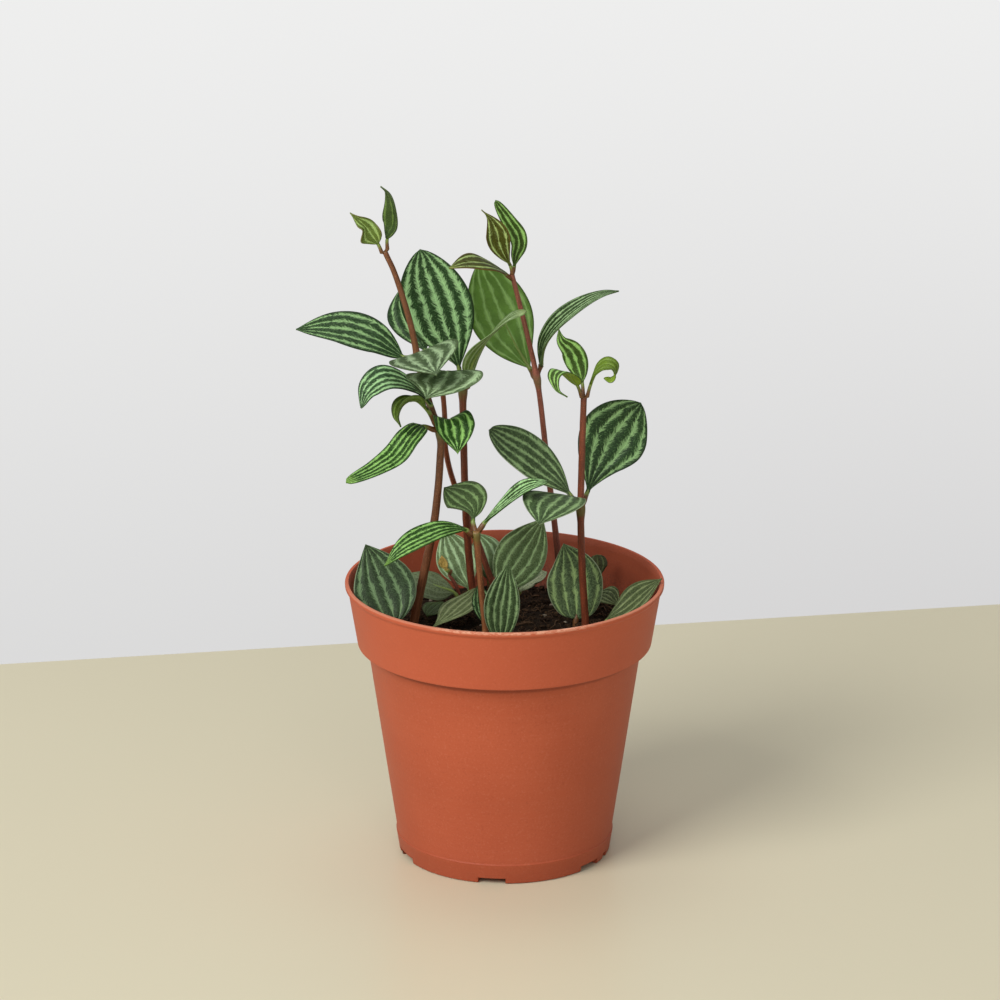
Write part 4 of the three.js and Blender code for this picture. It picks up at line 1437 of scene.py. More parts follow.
@dataclass
class Stem:
    """An upright stem that swells at its joints. Sizes are in millimetres."""

    name: str
    foot: float
    top: float
    joints: tuple[float, ...]
    path: tuple[tuple[float, ...], ...]
    soil: float = 77.9
    tone: StalkTone = StalkTone.RED
    swell: float = 0.45
    spread: float = 2.6
    seat_gap: float = 0.3
    stalk: float = 0.75
    crest_step: float = 1.05
    ring_step: float = 1.1
    sides: int = 20
    curve: RibCurve = field(init=False)

    # How finely a joint's place is searched, and when a stalk stands on the stem's top
    SEARCH = 0.005
    CREST_NEAR = 2.0
    CREST_STEEP = 0.8
    # The scar above a joint, how green the skin is, the rounded top and the skin's unevenness
    SCAR = 0.1
    SCAR_RISE = 1.3
    SCAR_SPREAD = 0.7
    GREEN = 0.12
    JOINT_GREEN = 0.7
    CREST = ((0.35, 0.82), (0.5, 0.45))
    RIPPLE = 0.05

    def __post_init__(self) -> None:
        """Lays the curve from under the soil to the top."""
        self.curve = RibCurve([*rooted(*self.path[0], self.soil), *self.path[1:]])

    def radius(self, height: float) -> float:
        """The stem's radius, joints included.

        Args:
            height: The height above the pot's foot.

        Returns:
            The radius there.
        """
        share = (height - SOIL_EDGE) / (self.path[-1][2] - SOIL_EDGE)
        plain = self.foot + (self.top - self.foot) * min(max(share, 0.0), 1.0)
        return plain + self.swell * self.jointed(height, self.spread)

    def jointed(self, height: float, spread: float) -> float:
        """How near a joint is at a height, from 0 to 1, where a spread away counts for little."""
        return max((math.exp(-(((height - joint) / spread) ** 2)) for joint in self.joints), default=0.0)

    def stalk_start(self, joint: float, foot: Vector) -> tuple[Vector, Vector]:
        """Where a stalk leaves the stem.

        Args:
            joint: The height of the joint.
            foot: The foot of the blade.

        Returns:
            The spot on the stem's axis and the spot just clear of its skin.
        """
        distance = self.curve.length
        while distance > 0 and self.curve.at(distance).z > joint:
            distance -= self.curve.length * self.SEARCH
        axis = self.curve.at(distance)
        along = self.curve.along(distance)
        direction = (foot - axis).normalized()
        cosine = abs(direction.dot(along))
        sine = math.sqrt(1 - cosine * cosine)
        if self.path[-1][2] - joint < self.CREST_NEAR and cosine > self.CREST_STEEP:
            end = self.curve.at(self.curve.length)
            beside = foot - end
            beside = (beside - along * beside.dot(along)).normalized()
            return end, end + along * (self.seat_gap + self.stalk * sine) + beside * self.crest_step
        clear = self.radius(joint) + self.seat_gap + self.stalk * cosine
        return axis, axis + direction * (clear / sine)

    def build(self, palette: Palette) -> None:
        """Makes the stem and dresses it.

        Args:
            palette: The finishes.
        """
        count = max(12, round(self.curve.length / self.ring_step))
        rings = []
        for number in range(count + 1):
            distance = self.curve.length * number / count
            spot = self.curve.at(distance)
            scar = self.SCAR * self.jointed(spot.z - self.SCAR_RISE, self.SCAR_SPREAD)
            green = self.GREEN + self.JOINT_GREEN * self.jointed(spot.z, self.spread)
            wide = self.radius(spot.z) + scar
            rings.append(Ring(spot, self.curve.along(distance), wide, distance, green))
        last = rings[count]
        for share, shrink in self.CREST:
            tip = last.centre + last.along * last.radius * share
            rings.append(Ring(tip, last.along, last.radius * shrink, last.distance + share, 0.6))
        mesh = make_tube(rings, self.sides, ripple=self.RIPPLE)
        place_piece(finish_mesh(mesh, self.name + "_skin", [palette.get(self.tone)]), "stem", self.name)


# Leaves


@dataclass
class Leaf:
    """A leaf with its stalk. Sizes are in millimetres, face is where its upper side looks."""

    name: str
    width: float
    widest: float
    cup: float
    face: Point
    rib: tuple[Point, ...]
    skin: Skin = Skin.DARK
    under: Underside = Underside.OLIVE
    stem: str = ""
    joint: float = 0.0
    root: tuple[float, float] = (0.0, 0.0)
    point: float = 0.95
    wave: float = 0.25
    foot_sharpness: float = 0.98
    flare: float = 0.3
    flare_length: float = 1.6
    stalk: float = 0.75
    stalk_green: float = 1.0
    twist: float = 0.0
    lobe: float = 0.0
    nicks: tuple[tuple[float, float], ...] = ()

    # What all blades share: the plain and the fine grid and the width past which the fine one is
    # taken, the ruffles, the quilting, the thickness and how much of it the edge and the tip keep
    GRIDS = ((24, 40), (36, 52))
    FINE_WIDTH = 12.0
    RUFFLES = 9.0
    RUFFLE_STEP = 2.4
    QUILT = 0.14
    QUILT_HALF = 4.0
    TIP_HALF = 0.08
    THICKNESS = 0.9375
    EDGE_BODY = 0.36
    TIP_BODY = 0.55
    PATTERN_STEP = 13.7
    NICK_LENGTH = 0.11
    # What all stalks share: how far they run on as midribs, their rings, and how they thin and sink
    MIDRIB = 0.45
    RING_STEP = 0.8
    SIDES = 14
    RIPPLE = 0.04
    COLLAR = 0.85
    COLLAR_DEPTH = 1.5
    THINNING = 0.82
    SINK = 0.1
    KEEL_SINK = 0.22
    KEEL_CLEAR = 0.53
    RIPE_RISE = 1.3
    LOW_RISE = 10.0

    def half(self, share: float) -> float:
        """Half the blade's width.

        Args:
            share: How far along the blade, from 0 at its foot to 1 at its tip.

        Returns:
            Half the width there.
        """
        power = math.log(0.5) / math.log(self.widest)
        sharp = self.foot_sharpness if share < self.widest else self.point
        return self.width / 2 * max(math.sin(math.pi * share ** power), 0.0) ** sharp

    def nicked(self, share: float) -> float:
        """How far one edge is drawn in or out at a share of the length, as a part of its width."""
        return sum(depth * math.exp(-(((share - place) / self.NICK_LENGTH) ** 2))
                   for place, depth in self.nicks)

    def course(self, stems: dict[str, Stem]) -> tuple[RibCurve, int, Optional[Vector]]:
        """The curve from the stalk's start to the tip.

        Args:
            stems: The stems by name.

        Returns:
            The curve, the number of its point at the blade's foot, and the stem's axis there.
        """
        if self.stem:
            axis, start = stems[self.stem].stalk_start(self.joint, Vector(self.rib[0]))
            return RibCurve([tuple(start), *self.rib]), 1, axis
        return RibCurve([*rooted(*self.root, soil_level(*self.root)), *self.rib]), 3, None

    def turned(self, curve: RibCurve, foot: float, distance: float) -> tuple[Vector, Vector]:
        """How the blade is turned about its rib.

        Args:
            curve: The rib's curve.
            foot: The length along it at the blade's foot.
            distance: The length along it.

        Returns:
            The sideways and the upward direction.
        """
        middle = curve.along((foot + curve.length) / 2)
        across = middle.cross(Vector(self.face)).normalized()
        along = curve.along(distance)
        beside = (across - along * across.dot(along)).normalized()
        share = max(0.0, (distance - foot) / (curve.length - foot))
        beside.rotate(Quaternion(along, self.twist * (share - 0.5)))
        return beside, beside.cross(along)

    def stations(self, curve: RibCurve, foot: float,
                 rows: int) -> list[tuple[Vector, Vector, Vector, float]]:
        """Where each row of a blade stands.

        Args:
            curve: The rib's curve.
            foot: The length along it at the blade's foot.
            rows: How many rows the blade has.

        Returns:
            The middle, the sideways and upward directions and the length along the rib of each row.
        """
        places = []
        for number in range(rows + 1):
            distance = foot + (curve.length - foot) * number / rows
            beside, facing = self.turned(curve, foot, distance)
            places.append((curve.at(distance), beside, facing, distance))
        return places

    def build_blade(self, curve: RibCurve, foot: float, seed: int, palette: Palette) -> None:
        """Bends a grid along the rib and gives it its thickness.

        Args:
            curve: The rib's curve.
            foot: The length along it at the blade's foot.
            seed: A number that sets this blade's own pattern.
            palette: The finishes.
        """
        mesh = bmesh.new()
        blade = mesh.verts.layers.float_vector.new("blade")
        skin = mesh.verts.layers.float_vector.new("skin")
        body = mesh.verts.layers.deform.verify()
        columns, rows = self.GRIDS[self.width > self.FINE_WIDTH]
        bmesh.ops.create_grid(mesh, x_segments=columns, y_segments=rows, size=1.0)
        stations = self.stations(curve, foot, rows)
        phase = seed * self.RUFFLE_STEP
        for vertex in mesh.verts:
            side, share = vertex.co.x, (vertex.co.y + 1) / 2
            centre, beside, facing, distance = stations[round(share * rows)]
            full = self.half(share)
            half = max(full, self.stalk * (1 - share) if share < 0.5 else self.TIP_HALF)
            if side < 0:
                half *= 1 + self.nicked(share)
            angle = max(self.cup * full / (self.width / 2), 0.01)
            spot = centre + beside * (half * math.sin(angle * side) / angle)
            spot += facing * (half * (1 - math.cos(angle * side)) / angle)
            spot += beside.cross(facing) * (self.lobe * abs(side) ** 1.5 * (1 - share) ** 3)
            ruffle = math.sin(share * self.RUFFLES + phase) * math.sin(share * math.pi)
            spot += facing * (self.wave * ruffle * side * abs(side))
            quilt = 0.5 - 0.5 * math.cos(side * math.tau / VEIN_SPACING)
            spot += facing * (self.QUILT * quilt * min(1.0, half / self.QUILT_HALF) * (1 - abs(side) ** 6))
            vertex.co = spot
            vertex[blade] = (side, share, half)
            vertex[skin] = (side * half, distance, seed * self.PATTERN_STEP)
            plump = self.EDGE_BODY + (1 - self.EDGE_BODY) * (1 - abs(side) ** 5)
            vertex[body][0] = plump * (self.TIP_BODY + (1 - self.TIP_BODY) * (1 - share) ** 2)
        materials = [palette.get(self.skin), palette.get(self.under)]
        thing = finish_mesh(mesh, self.name + "_blade", materials)
        thing.vertex_groups.new(name="body")
        shell = thing.modifiers.new("thickness", "SOLIDIFY")
        shell.thickness = self.THICKNESS * MM
        shell.offset = 0.0
        shell.vertex_group = "body"
        shell.use_quality_normals = True
        shell.material_offset = 1
        place_piece(thing, "leaf", self.name)

    def build_stalk(self, curve: RibCurve, foot: float, axis: Optional[Vector],
                    palette: Palette) -> None:
        """Makes the round stalk, which runs on under the blade as its midrib.

        Args:
            curve: The rib's curve.
            foot: The length along it at the blade's foot.
            axis: The spot on the stem's axis where the stalk comes from, if it has one.
            palette: The finishes.
        """
        keel = foot + (curve.length - foot) * self.MIDRIB
        rings: list[Ring] = []
        if axis is not None:
            begin = curve.at(0.0)
            if (begin - axis).length > 0.2:
                away = (begin - axis).normalized()
                wide = self.stalk * (self.COLLAR + self.flare)
                rings.append(Ring(axis, away, wide, -self.COLLAR_DEPTH, 0.1))
        count = max(14, round(keel / self.RING_STEP))
        for number in range(count + 1):
            distance = keel * number / count
            facing = self.turned(curve, foot, distance)[1]
            blade = max(0.0, (distance - foot) / max(keel - foot, 1e-6))
            base = self.flare * math.exp(-distance / self.flare_length) if axis is not None else 0.0
            radius = self.stalk * (1.0 + base) * (1.0 - self.THINNING * blade ** 0.6)
            sink = max(self.KEEL_SINK, self.stalk - self.KEEL_CLEAR) * min(1.0, blade * 3.0)
            spot = curve.at(distance) - facing * (self.SINK + sink)
            rise = self.LOW_RISE if axis is None else self.RIPE_RISE
            green = min(1.0, distance / max(foot, 0.1)) ** rise
            rings.append(Ring(spot, curve.along(distance), radius, distance, green * self.stalk_green))
        mesh = make_tube(rings, self.SIDES, ripple=self.RIPPLE)
        place_piece(finish_mesh(mesh, self.name + "_stalk", [palette.get(StalkTone.LEAF_STALK)]), "leaf")

    def build(self, stems: dict[str, Stem], seed: int, palette: Palette) -> None:
        """Makes the blade and the stalk.

        Args:
            stems: The stems by name.
            seed: A number that sets this leaf's own pattern.
            palette: The finishes.
        """
        curve, start, axis = self.course(stems)
        foot = curve.mark(start)
        self.build_blade(curve, foot, seed, palette)
        self.build_stalk(curve, foot, axis, palette)


STEMS = (
    Stem("stem_1", 1.55, 0.9, (148, 173),
         ((-31, 2), (-26.5, 2, 101.5), (-23.5, 1, 118), (-21.7, 0, 138), (-21.6, 0, 148),
          (-24.7, 1, 156.5), (-28.1, 2, 169), (-31.5, 2, 186), (-36.6, 1, 203.5), (-39.6, 0, 210.7)),
         tone=StalkTone.BROWN),
    Stem("stem_2", 1.3, 1.2, (157,),
         ((-10.2, 25), (-11.5, 25, 88), (-13, 23, 108),
          (-13.6, 21, 125), (-14.1, 18, 152), (-14.1, 18, 158.5))),
    Stem("stem_3", 1.1, 0.85, (165,),
         ((-2.6, 31), (-6, 32, 89), (-11.7, 32, 106), (-17.3, 26, 122),
          (-20, 15, 138), (-20.2, 5, 154), (-21, 0, 166)), tone=StalkTone.ROSE),
    Stem("stem_4", 1.15, 0.8, (161,),
         ((19.6, 27), (17.9, 27, 100), (15, 25, 125), (11.1, 20, 160), (7.2, 17, 179), (2.4, 12, 200)),
         tone=StalkTone.PINK),
    Stem("stem_5", 1.3, 1.05, (121,),
         ((27.5, 2), (26.3, 1, 98), (25.6, 0, 120.5), (25.8, 0, 135), (26.4, -2, 161))),
    Stem("stem_6", 1.1, 1.05, (117,),
         ((-6.2, -10), (-8, -12, 98), (-9.6, -14, 117.5)), tone=StalkTone.TAN),
    Stem("stem_7", 0.7, 0.6, (),
         ((-15.2, 30), (-17, 29, 84.5), (-19, 28, 88)), tone=StalkTone.PINK),
)

LEAVES = (
    Leaf("leaf_1_1", 7.2, 0.34, 0.6, (-0.3, -0.8, 0.5),
         ((-42, -1, 214), (-46.6, -2, 220.8), (-51, -3, 225)),
         Skin.YOUNG, Underside.FRESH, stem="stem_1", joint=210, point=1.3,
         wave=1.4, stalk=0.55, nicks=((0.24, 0.35), (0.52, -0.5))),
    Leaf("leaf_1_2", 9, 0.38, 0.8, (-0.8, -0.6, 0.1),
         ((-38.9, 0, 215.5), (-36.9, 0, 220), (-36.8, -1, 226), (-38.4, -1.7, 231.4), (-40.9, -2, 233.7)),
         Skin.MOSS, stem="stem_1", joint=210, stalk=0.55),
    Leaf("leaf_1_3", 16.5, 0.48, 0.25, (-0.1, -0.45, 0.86),
         ((-34, 3, 173.7), (-43.3, 5, 179.3), (-55, 6, 182.6), (-69.6, 4, 183)),
         stem="stem_1", joint=174, foot_sharpness=0.75),
    Leaf("leaf_1_4", 16.4, 0.58, 0.3, (-0.1, -0.9, 0.4),
         ((-26.8, 13.5, 172.7), (-30.7, 21, 181), (-34.8, 29, 190.6)),
         stem="stem_1", joint=173, foot_sharpness=0.8),
    Leaf("leaf_1_5", 24.5, 0.5, 0.3, (-0.24, -0.15, 0.96),
         ((-28.4, -3, 176.5), (-27.6, -11, 179), (-25, -20, 179), (-22.3, -29, 176.8)),
         Skin.GREY, stem="stem_1", joint=173, point=1.5),
    Leaf("leaf_1_6", 13.6, 0.6, 0.3, (-0.35, -0.45, 0.8),
         ((-24.6, -1.8, 158.5), (-31, -5, 166), (-39.5, -9, 169.5), (-45, -12, 166.5), (-47.6, -14, 161)),
         Skin.VIVID, stem="stem_1", joint=149.5, point=0.75),
    Leaf("leaf_1_7", 8.8, 0.55, 1.1, (-0.7, -0.1, 0.7),
         ((-25.8, -5.5, 158), (-30, -9, 162.3), (-34, -11, 161), (-35.5, -12, 157.5), (-34.5, -12.5, 154)),
         Skin.OLIVE, stem="stem_1", joint=149),
    Leaf("leaf_1_8", 11.8, 0.3, 0.3, (-0.45, -0.45, 0.77),
         ((-27.5, -3, 151.3), (-31.5, -7, 148.7), (-36, -10.5, 143.5),
          (-42.5, -14, 140), (-52.7, -18, 136.4)),
         Skin.BRIGHT, stem="stem_1", joint=149, point=0.4, foot_sharpness=0.5),
    Leaf("leaf_1_9", 15.6, 0.3, 0.95, (0.1, -0.45, 0.87),
         ((-18, -8.5, 154.9), (-16.5, -13, 151.1), (-15.5, -18, 146.4)),
         Skin.BRIGHT, stem="stem_1", joint=149, point=1.2, foot_sharpness=0.3, lobe=2.2),
    Leaf("leaf_2_1", 24.4, 0.56, 0.25, (-0.15, -0.95, 0.25),
         ((-15.4, 17.2, 165.6), (-18.4, 13.6, 176.4), (-23.4, 9.6, 193), (-28.1, 6, 210)),
         Skin.VIVID, stem="stem_2", joint=158, point=0.68, foot_sharpness=0.85,
         flare=1.2, flare_length=2.4),
    Leaf("leaf_2_2", 9, 0.34, 0.5, (-0.5, 0.2, 0.8),
         ((-12.2, 17, 162.1), (-11, 15, 168), (-7.9, 12.3, 174.3),
          (-2.6, 9, 181.2), (2.4, 7, 186.4), (7.3, 6, 188.6)),
         Skin.PASTEL, Underside.STRIPED, stem="stem_2", joint=158, point=0.35, twist=0.9,
         flare=1.2, flare_length=2.4),
    Leaf("leaf_3_1", 27, 0.48, 0.25, (-0.12, -0.2, 0.97),
         ((-20, -3, 170), (-18.8, -9, 171.2), (-21.3, -18, 170), (-26, -26, 167.8)),
         Skin.LIT_GREY, stem="stem_3", joint=165, point=1.4),
    Leaf("leaf_4_1", 21.5, 0.5, 0.2, (-0.35, 0.9, 0.3),
         ((8.5, 24, 163.5), (3.6, 27, 171), (-1.8, 29, 182.5), (-8.3, 27, 200)),
         Skin.DARK, Underside.FRESH, stem="stem_4", joint=161, point=0.68, flare=0.8),
    Leaf("leaf_4_2", 9.2, 0.38, 0.8, (-0.4, -0.45, 0.8),
         ((12.3, 20, 165.5), (13.3, 18.8, 172.9), (16.7, 17, 179.5), (22.4, 15.5, 185.5),
          (28.9, 14, 190.5), (33.6, 13, 192.9), (38.2, 12, 194)),
         Skin.FINE, stem="stem_4", joint=161, point=0.8, foot_sharpness=0.6,
         flare=0.5, stalk=0.65),
    Leaf("leaf_4_3", 11.5, 0.45, 0.2, (-0.1, -0.42, 1),
         ((0.3, 11.2, 200.2), (-3.2, 8, 203.1), (-7.9, 4, 205.8), (-13.2, 0, 206.9), (-18.4, -3, 206)),
         Skin.BRONZE, Underside.FRESH, stem="stem_4", joint=197.5, foot_sharpness=0.85, stalk=0.55),
    Leaf("leaf_4_4", 8.2, 0.48, 0.4, (-0.1, -0.95, 0.2),
         ((1.8, 10.2, 203.5), (-0.1, 9.7, 207.1), (-1.7, 9.1, 211.1),
          (-2.6, 8, 215.8), (-4.9, 7, 220.6), (-7.7, 6, 223.6)),
         Skin.BRONZE, stem="stem_4", joint=199.5, point=1.9, foot_sharpness=1.2,
         stalk=0.55),
    Leaf("leaf_4_5", 6.2, 0.45, 0.4, (-0.4, -0.8, 0.2),
         ((3.2, 14.2, 202.1), (3.8, 14, 205.6), (4.9, 13.6, 209.5),
          (4.4, 13.3, 213.4), (1.6, 13, 217.9), (-3.1, 12, 225.3)),
         Skin.STREAKED, Underside.FRESH, stem="stem_4", joint=199.5, point=0.45, foot_sharpness=0.9,
         stalk=0.55),
    Leaf("leaf_5_1", 8.1, 0.42, 0.3, (-0.2, -0.9, 0.3),
         ((25.9, 0.7, 165.5), (24.7, 2, 170.5), (22.2, 2, 176.5), (18.9, 1.5, 180), (17.9, 1, 184.7)),
         Skin.STREAKED, Underside.FRESH, stem="stem_5", joint=160.5, point=1.4, stalk=0.55),
    Leaf("leaf_5_2", 8.5, 0.3, 0.2, (-0.2, -0.3, 0.9),
         ((24.2, -5, 166.3), (21.2, -7.5, 170.3), (18, -10.5, 172.6),
          (16.5, -13, 171.5), (17.6, -14.5, 167.4), (20.8, -14.5, 165)),
         Skin.STREAKED, Underside.SAP, stem="stem_5", joint=160.5, point=1.4, stalk=0.55),
    Leaf("leaf_5_3", 7.6, 0.4, 0.25, (0.2, -0.4, 0.9),
         ((28.6, -2.8, 166), (30.6, -3.4, 170.6), (33.7, -4, 173.2), (36.2, -4.8, 172.4),
          (36.5, -5.6, 170), (35.2, -6.2, 168.6), (33, -6.5, 169.2)),
         Skin.LIME, Underside.SAP, stem="stem_5", joint=160.5, point=0.6, stalk=0.55),
    Leaf("leaf_5_4", 23.2, 0.58, 0.2, (0.1, -0.95, 0.3),
         ((27.8, 3.5, 125.8), (32.2, 7, 136.8), (39, 9, 147.6), (45.8, 9, 155.8)),
         stem="stem_5", joint=121, point=0.7),
    Leaf("leaf_5_5", 16.6, 0.52, 0.2, (0.2, -0.6, 0.75),
         ((22.1, 2, 125.6), (15.1, 4, 132.6), (6.6, 4, 139.8), (-0.7, 3, 145), (-5.2, 2, 148.5)),
         Skin.DEEP, Underside.SILVER, stem="stem_5", joint=121, point=0.55),
    Leaf("leaf_5_6", 22, 0.5, 0.3, (0, -0.1, 1),
         ((22.5, -5, 126.8), (18.7, -12, 129), (15.4, -19.5, 128.5), (11.3, -29, 125.4)),
         Skin.DEEP, Underside.SILVER, stem="stem_5", joint=121, point=1.1),
    Leaf("leaf_6_1", 12, 0.52, 0.3, (-0.5, -0.1, 0.85),
         ((-6.8, -13, 120.8), (-0.4, -13, 127), (7.4, -13.5, 133.3), (14.8, -14, 135.5)),
         Skin.GLEAM, stem="stem_6", joint=117, point=0.7),
    Leaf("leaf_6_2", 13, 0.47, 0.3, (-0.15, -0.25, 0.95),
         ((-12.8, -15, 118.9), (-19, -17, 119.8), (-28, -20, 117.4),
          (-35, -21.5, 113.6), (-40, -22, 108.5)),
         Skin.BRIGHT, stem="stem_6", joint=115.6, foot_sharpness=0.85),
    Leaf("leaf_6_3", 16, 0.6, 0.3, (0.15, -0.6, 0.8),
         ((-10.6, -12, 121), (-10.5, -8, 123.4), (-12.7, -3, 125.2), (-20.4, 2.2, 128)),
         Skin.SAGE, Underside.SILVER, stem="stem_6", joint=117),
    Leaf("leaf_7_1", 3.6, 0.5, 0.9, (-0.3, -0.9, 0.2),
         ((-19.8, 27.7, 90), (-21, 27.5, 93), (-21.6, 27, 95.4)),
         Skin.BUD, Underside.FRESH, stem="stem_7", joint=87.5),
    Leaf("low_leaf_01", 21.5, 0.42, 0.25, (0.1, -0.9, 0.4),
         ((-37, -10, 84), (-40.2, -6, 94), (-43.7, -3, 102.3), (-46.9, -1, 109)),
         Skin.SHADY, Underside.SILVER, root=(-36, -11), foot_sharpness=0.8, stalk_green=0.3),
    Leaf("low_leaf_02", 14.5, 0.5, 0.2, (-0.1, -0.95, 0.3),
         ((-12, 29, 82.5), (-14.7, 32, 88.5), (-18.1, 35, 95.5), (-20.9, 37, 101.4)),
         Skin.CLOUDY, Underside.SILVER, root=(-11.5, 28.5)),
    Leaf("low_leaf_03", 14, 0.5, 0.2, (0, 0.35, -0.93),
         ((-17, 20, 84), (-23, 19, 87), (-29, 21, 89), (-33.5, 24, 90)),
         Skin.SHEENED, Underside.SILVER, root=(-14.5, 20)),
    Leaf("low_leaf_04", 12.4, 0.44, 0.2, (-0.3, -0.4, 0.85),
         ((-8.7, 15.6, 87.3), (-11.6, 11, 85.7), (-15.5, 5, 84.2), (-19.5, -2, 83.2), (-24.2, -8, 81.9)),
         Skin.DULL, Underside.SILVER, root=(-2.5, 17), point=1.2),
    Leaf("low_leaf_05", 9, 0.5, 0.2, (-0.2, -0.4, 0.85),
         ((-21, 13, 83.1), (-23.9, 9, 82.4), (-26.4, 5, 81.3)),
         Skin.DIM, root=(-22, 8)),
    Leaf("low_leaf_06", 13, 0.5, 0.2, (0.1, -0.95, 0.3),
         ((-5.3, 37, 83), (-5.6, 38, 88.3), (-7.1, 40, 94), (-9.5, 42, 98.6)),
         Skin.CLOUDY, Underside.SILVER, root=(-5.2, 36)),
    Leaf("low_leaf_07", 17.5, 0.5, 0.2, (0, -0.9, 0.4),
         ((-1.1, 22.5, 83.5), (2.4, 20, 92.5), (7.9, 18, 102.2), (13.1, 16, 112.4)),
         Skin.MIST, Underside.SILVER, root=(-2, 23), foot_sharpness=0.85, stalk_green=0.4),
    Leaf("low_leaf_08", 12.2, 0.46, 0.3, (0, -0.95, 0.25),
         ((-1.5, -15.5, 80), (-0.8, -17, 94), (1.2, -18, 108)),
         Skin.DEEP, Underside.SILVER, root=(-1.5, -15), foot_sharpness=0.6),
    Leaf("low_leaf_09", 7, 0.5, 0.3, (-0.3, -0.9, 0.3),
         ((-7, -3.5, 81.5), (-7.6, -2, 88), (-8.8, 0, 95)),
         root=(-7, -4)),
    Leaf("low_leaf_10", 12, 0.5, 1, (0, -0.2, 1),
         ((5.3, 25, 83.3), (8.8, 27.5, 85.3), (11.9, 28.5, 87.2), (14.6, 29, 88.8)),
         Skin.PALE, root=(3.6, 26)),
    Leaf("low_leaf_11", 19.3, 0.47, 0.25, (0, -0.9, 0.35),
         ((24.4, 6.8, 79.8), (24.2, 8, 88), (22.9, 8.5, 98), (20, 8, 106.2)),
         Skin.HAZY, Underside.SILVER, root=(24.2, 6.5), foot_sharpness=0.38, stalk=1.0, stalk_green=0.2),
    Leaf("low_leaf_12", 7, 0.62, 0.6, (0, -0.9, 0.3),
         ((32.4, 25, 88), (32.1, 26, 92), (31.7, 27, 95.7)),
         Skin.DRY, root=(29.6, 26.5), point=0.35, stalk_green=0.4),
    Leaf("low_leaf_13", 9, 0.5, 0.3, (0, -0.4, 0.9),
         ((30.8, 18.3, 83.4), (34.7, 16, 84.9), (38.7, 13, 82.5)),
         Skin.FADED, Underside.SILVER, root=(26.8, 19)),
    Leaf("low_leaf_14", 13, 0.5, 0.25, (-0.4, -0.5, 0.75),
         ((34.5, 0.5, 81), (40.5, -1, 85.6), (47.4, -3, 92.6), (53, -4.7, 98.1)),
         Skin.FADED, Underside.SILVER, root=(33, 1), point=1.2),
)


# Floor, light and camera


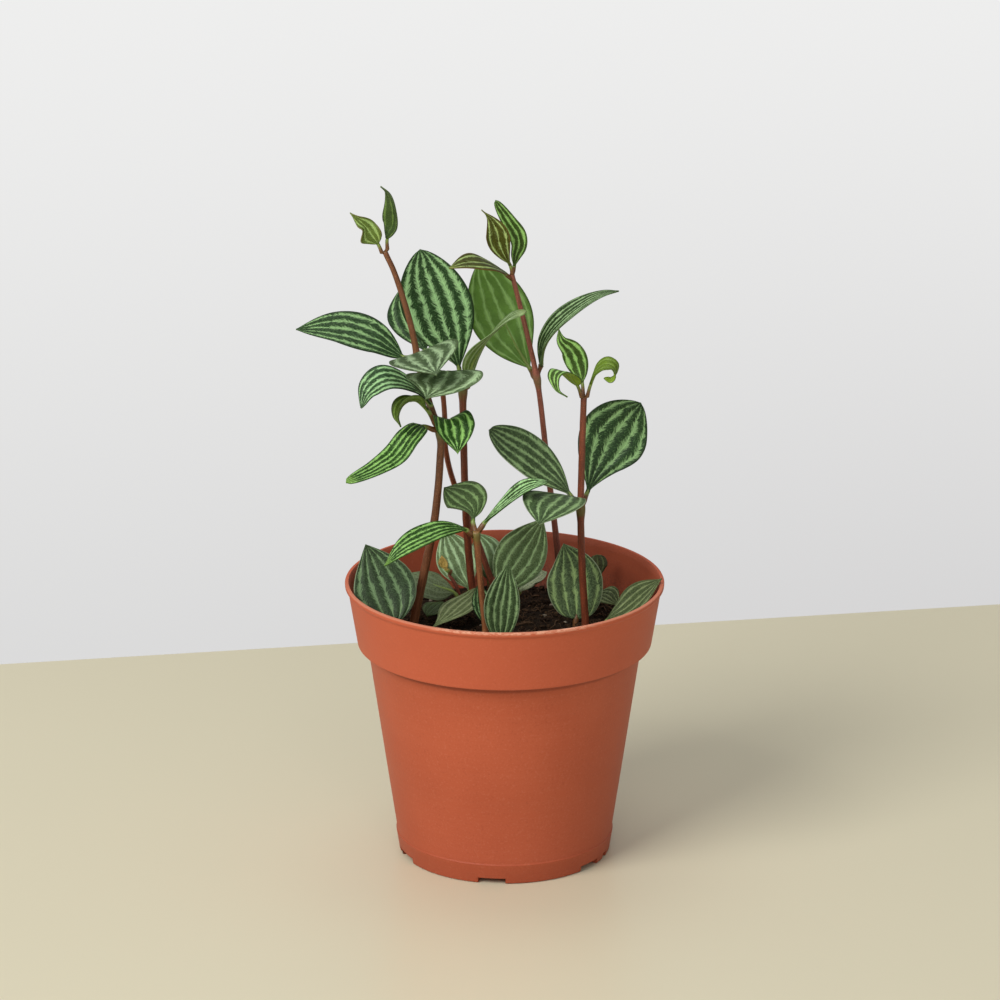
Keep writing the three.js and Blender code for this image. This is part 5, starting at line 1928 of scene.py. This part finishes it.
@dataclass
class Studio:
    """The pale floor, the soft lights and the camera. Sizes are in metres."""

    camera: Point = (-0.00156, -1.5981, 0.6487)
    pitch: float = 0.317
    lens: float = 180.0
    edge_spot: tuple[float, float] = (0.0, 0.2142)
    edge_turn: float = 10.1
    floor_size: float = 4.0
    backdrop: Colour = (0.870, 0.870, 0.865)
    # The backdrop's painted shade: darker low down, and darker still low towards the right
    backdrop_low: Colour = (0.655, 0.652, 0.652)
    backdrop_side: Colour = (0.585, 0.578, 0.582)
    low: float = -0.42
    high: float = -0.18
    ambient: float = 0.36
    floor_level: float = -0.00015
    aim: Point = (0.0, 0.0, 0.1)
    lights: tuple[tuple[str, Point, float, float, Colour], ...] = (
        ("key", (-1.3, -1.33, 1.6), 1.2, 42.0, (1.0, 0.99, 0.965)),
        ("front", (0.1, -2.3, 1.8), 1.2, 9.0, (1.0, 1.0, 1.0)),
        ("fill", (1.1, -1.9, 0.8), 1.4, 3.5, (0.97, 0.98, 1.0)),
        ("top", (-0.1, 0.5, 1.7), 1.0, 5.0, (1.0, 1.0, 1.0)),
    )

    def build(self, palette: Palette) -> None:
        """Lays the floor, hangs the lights and sets the camera.

        Args:
            palette: The finishes.
        """
        self.lay_floor(palette)
        for light in self.lights:
            self.hang(*light)
        self.set_world()
        self.set_camera()

    def lay_floor(self, palette: Palette) -> None:
        """Lays the floor board, whose far edge lies just behind the pot.

        Args:
            palette: The finishes.
        """
        mesh = bmesh.new()
        bmesh.ops.create_grid(mesh, x_segments=8, y_segments=8, size=1.0)
        half = self.floor_size / 2
        turn = math.radians(self.edge_turn)
        for vertex in mesh.verts:
            x, y = vertex.co.x * half, (vertex.co.y - 1) * half
            spot = (self.edge_spot[0] + x * math.cos(turn) - y * math.sin(turn),
                    self.edge_spot[1] + x * math.sin(turn) + y * math.cos(turn))
            vertex.co = Vector((*spot, self.floor_level)) / MM
        finish_mesh(mesh, "floor", [palette.get(FloorFinish())])

    def hang(self, name: str, place: Point, size: float, power: float, colour: Colour) -> None:
        """Hangs a soft square light that looks at the plant.

        Args:
            name: The light's name.
            place: Where it hangs.
            size: The side of its square.
            power: Its power in watts.
            colour: Its colour.
        """
        lamp = bpy.data.lights.new(name, "AREA")
        lamp.shape = "SQUARE"
        lamp.size = size
        lamp.energy = power
        lamp.color = colour
        thing = bpy.data.objects.new(name, lamp)
        thing.location = place
        aim = Vector(self.aim) - Vector(place)
        thing.rotation_euler = aim.to_track_quat("-Z", "Y").to_euler()
        bpy.context.scene.collection.objects.link(thing)

    def set_world(self) -> None:
        """Sets the grey backdrop, with painted shade darker low down and towards the right, which lights
        the plant more softly than it shows.
        """
        world = bpy.data.worlds.new("studio")
        world.use_nodes = True
        world.node_tree.nodes.clear()
        board = Board(world.node_tree)
        seen = board.add("ShaderNodeLightPath").outputs["Is Camera Ray"]
        side, _, rise = board.split(board.add("ShaderNodeTexCoord").outputs["Generated"])
        # Painted shade on the backdrop, darker low down and towards the right
        low = board.mix(board.step(side, -0.1, 0.1), self.backdrop_low, self.backdrop_side)
        shade = board.mix(board.step(rise, self.low, self.high), low, self.backdrop)
        strength = board.math("MAXIMUM", seen, self.ambient)
        back = board.add("ShaderNodeBackground", {"Color": shade, "Strength": strength})
        board.add("ShaderNodeOutputWorld", {"Surface": back.outputs[0]})
        bpy.context.scene.world = world
        bpy.context.scene.view_settings.view_transform = "Standard"

    def set_camera(self) -> None:
        """Sets the camera at the photograph's viewing angle."""
        data = bpy.data.cameras.new("camera")
        data.sensor_width = 36.0
        data.lens = self.lens
        data.clip_end = 20.0
        eye = bpy.data.objects.new("camera", data)
        eye.location = self.camera
        eye.rotation_euler = (math.pi / 2 - self.pitch, 0.0, 0.0)
        bpy.context.scene.collection.objects.link(eye)
        bpy.context.scene.camera = eye


def main() -> None:
    """Builds the whole potted plant and its studio."""
    logging.basicConfig(level=logging.INFO, format="%(name)s %(message)s")
    palette = Palette()
    Studio().build(palette)
    Pot().build(palette)
    Soil().build(palette)
    stems = {stem.name: stem for stem in STEMS}
    for stem in STEMS:
        stem.build(palette)
    for number, leaf in enumerate(LEAVES):
        leaf.build(stems, number, palette)


if __name__ == "__main__":
    main()
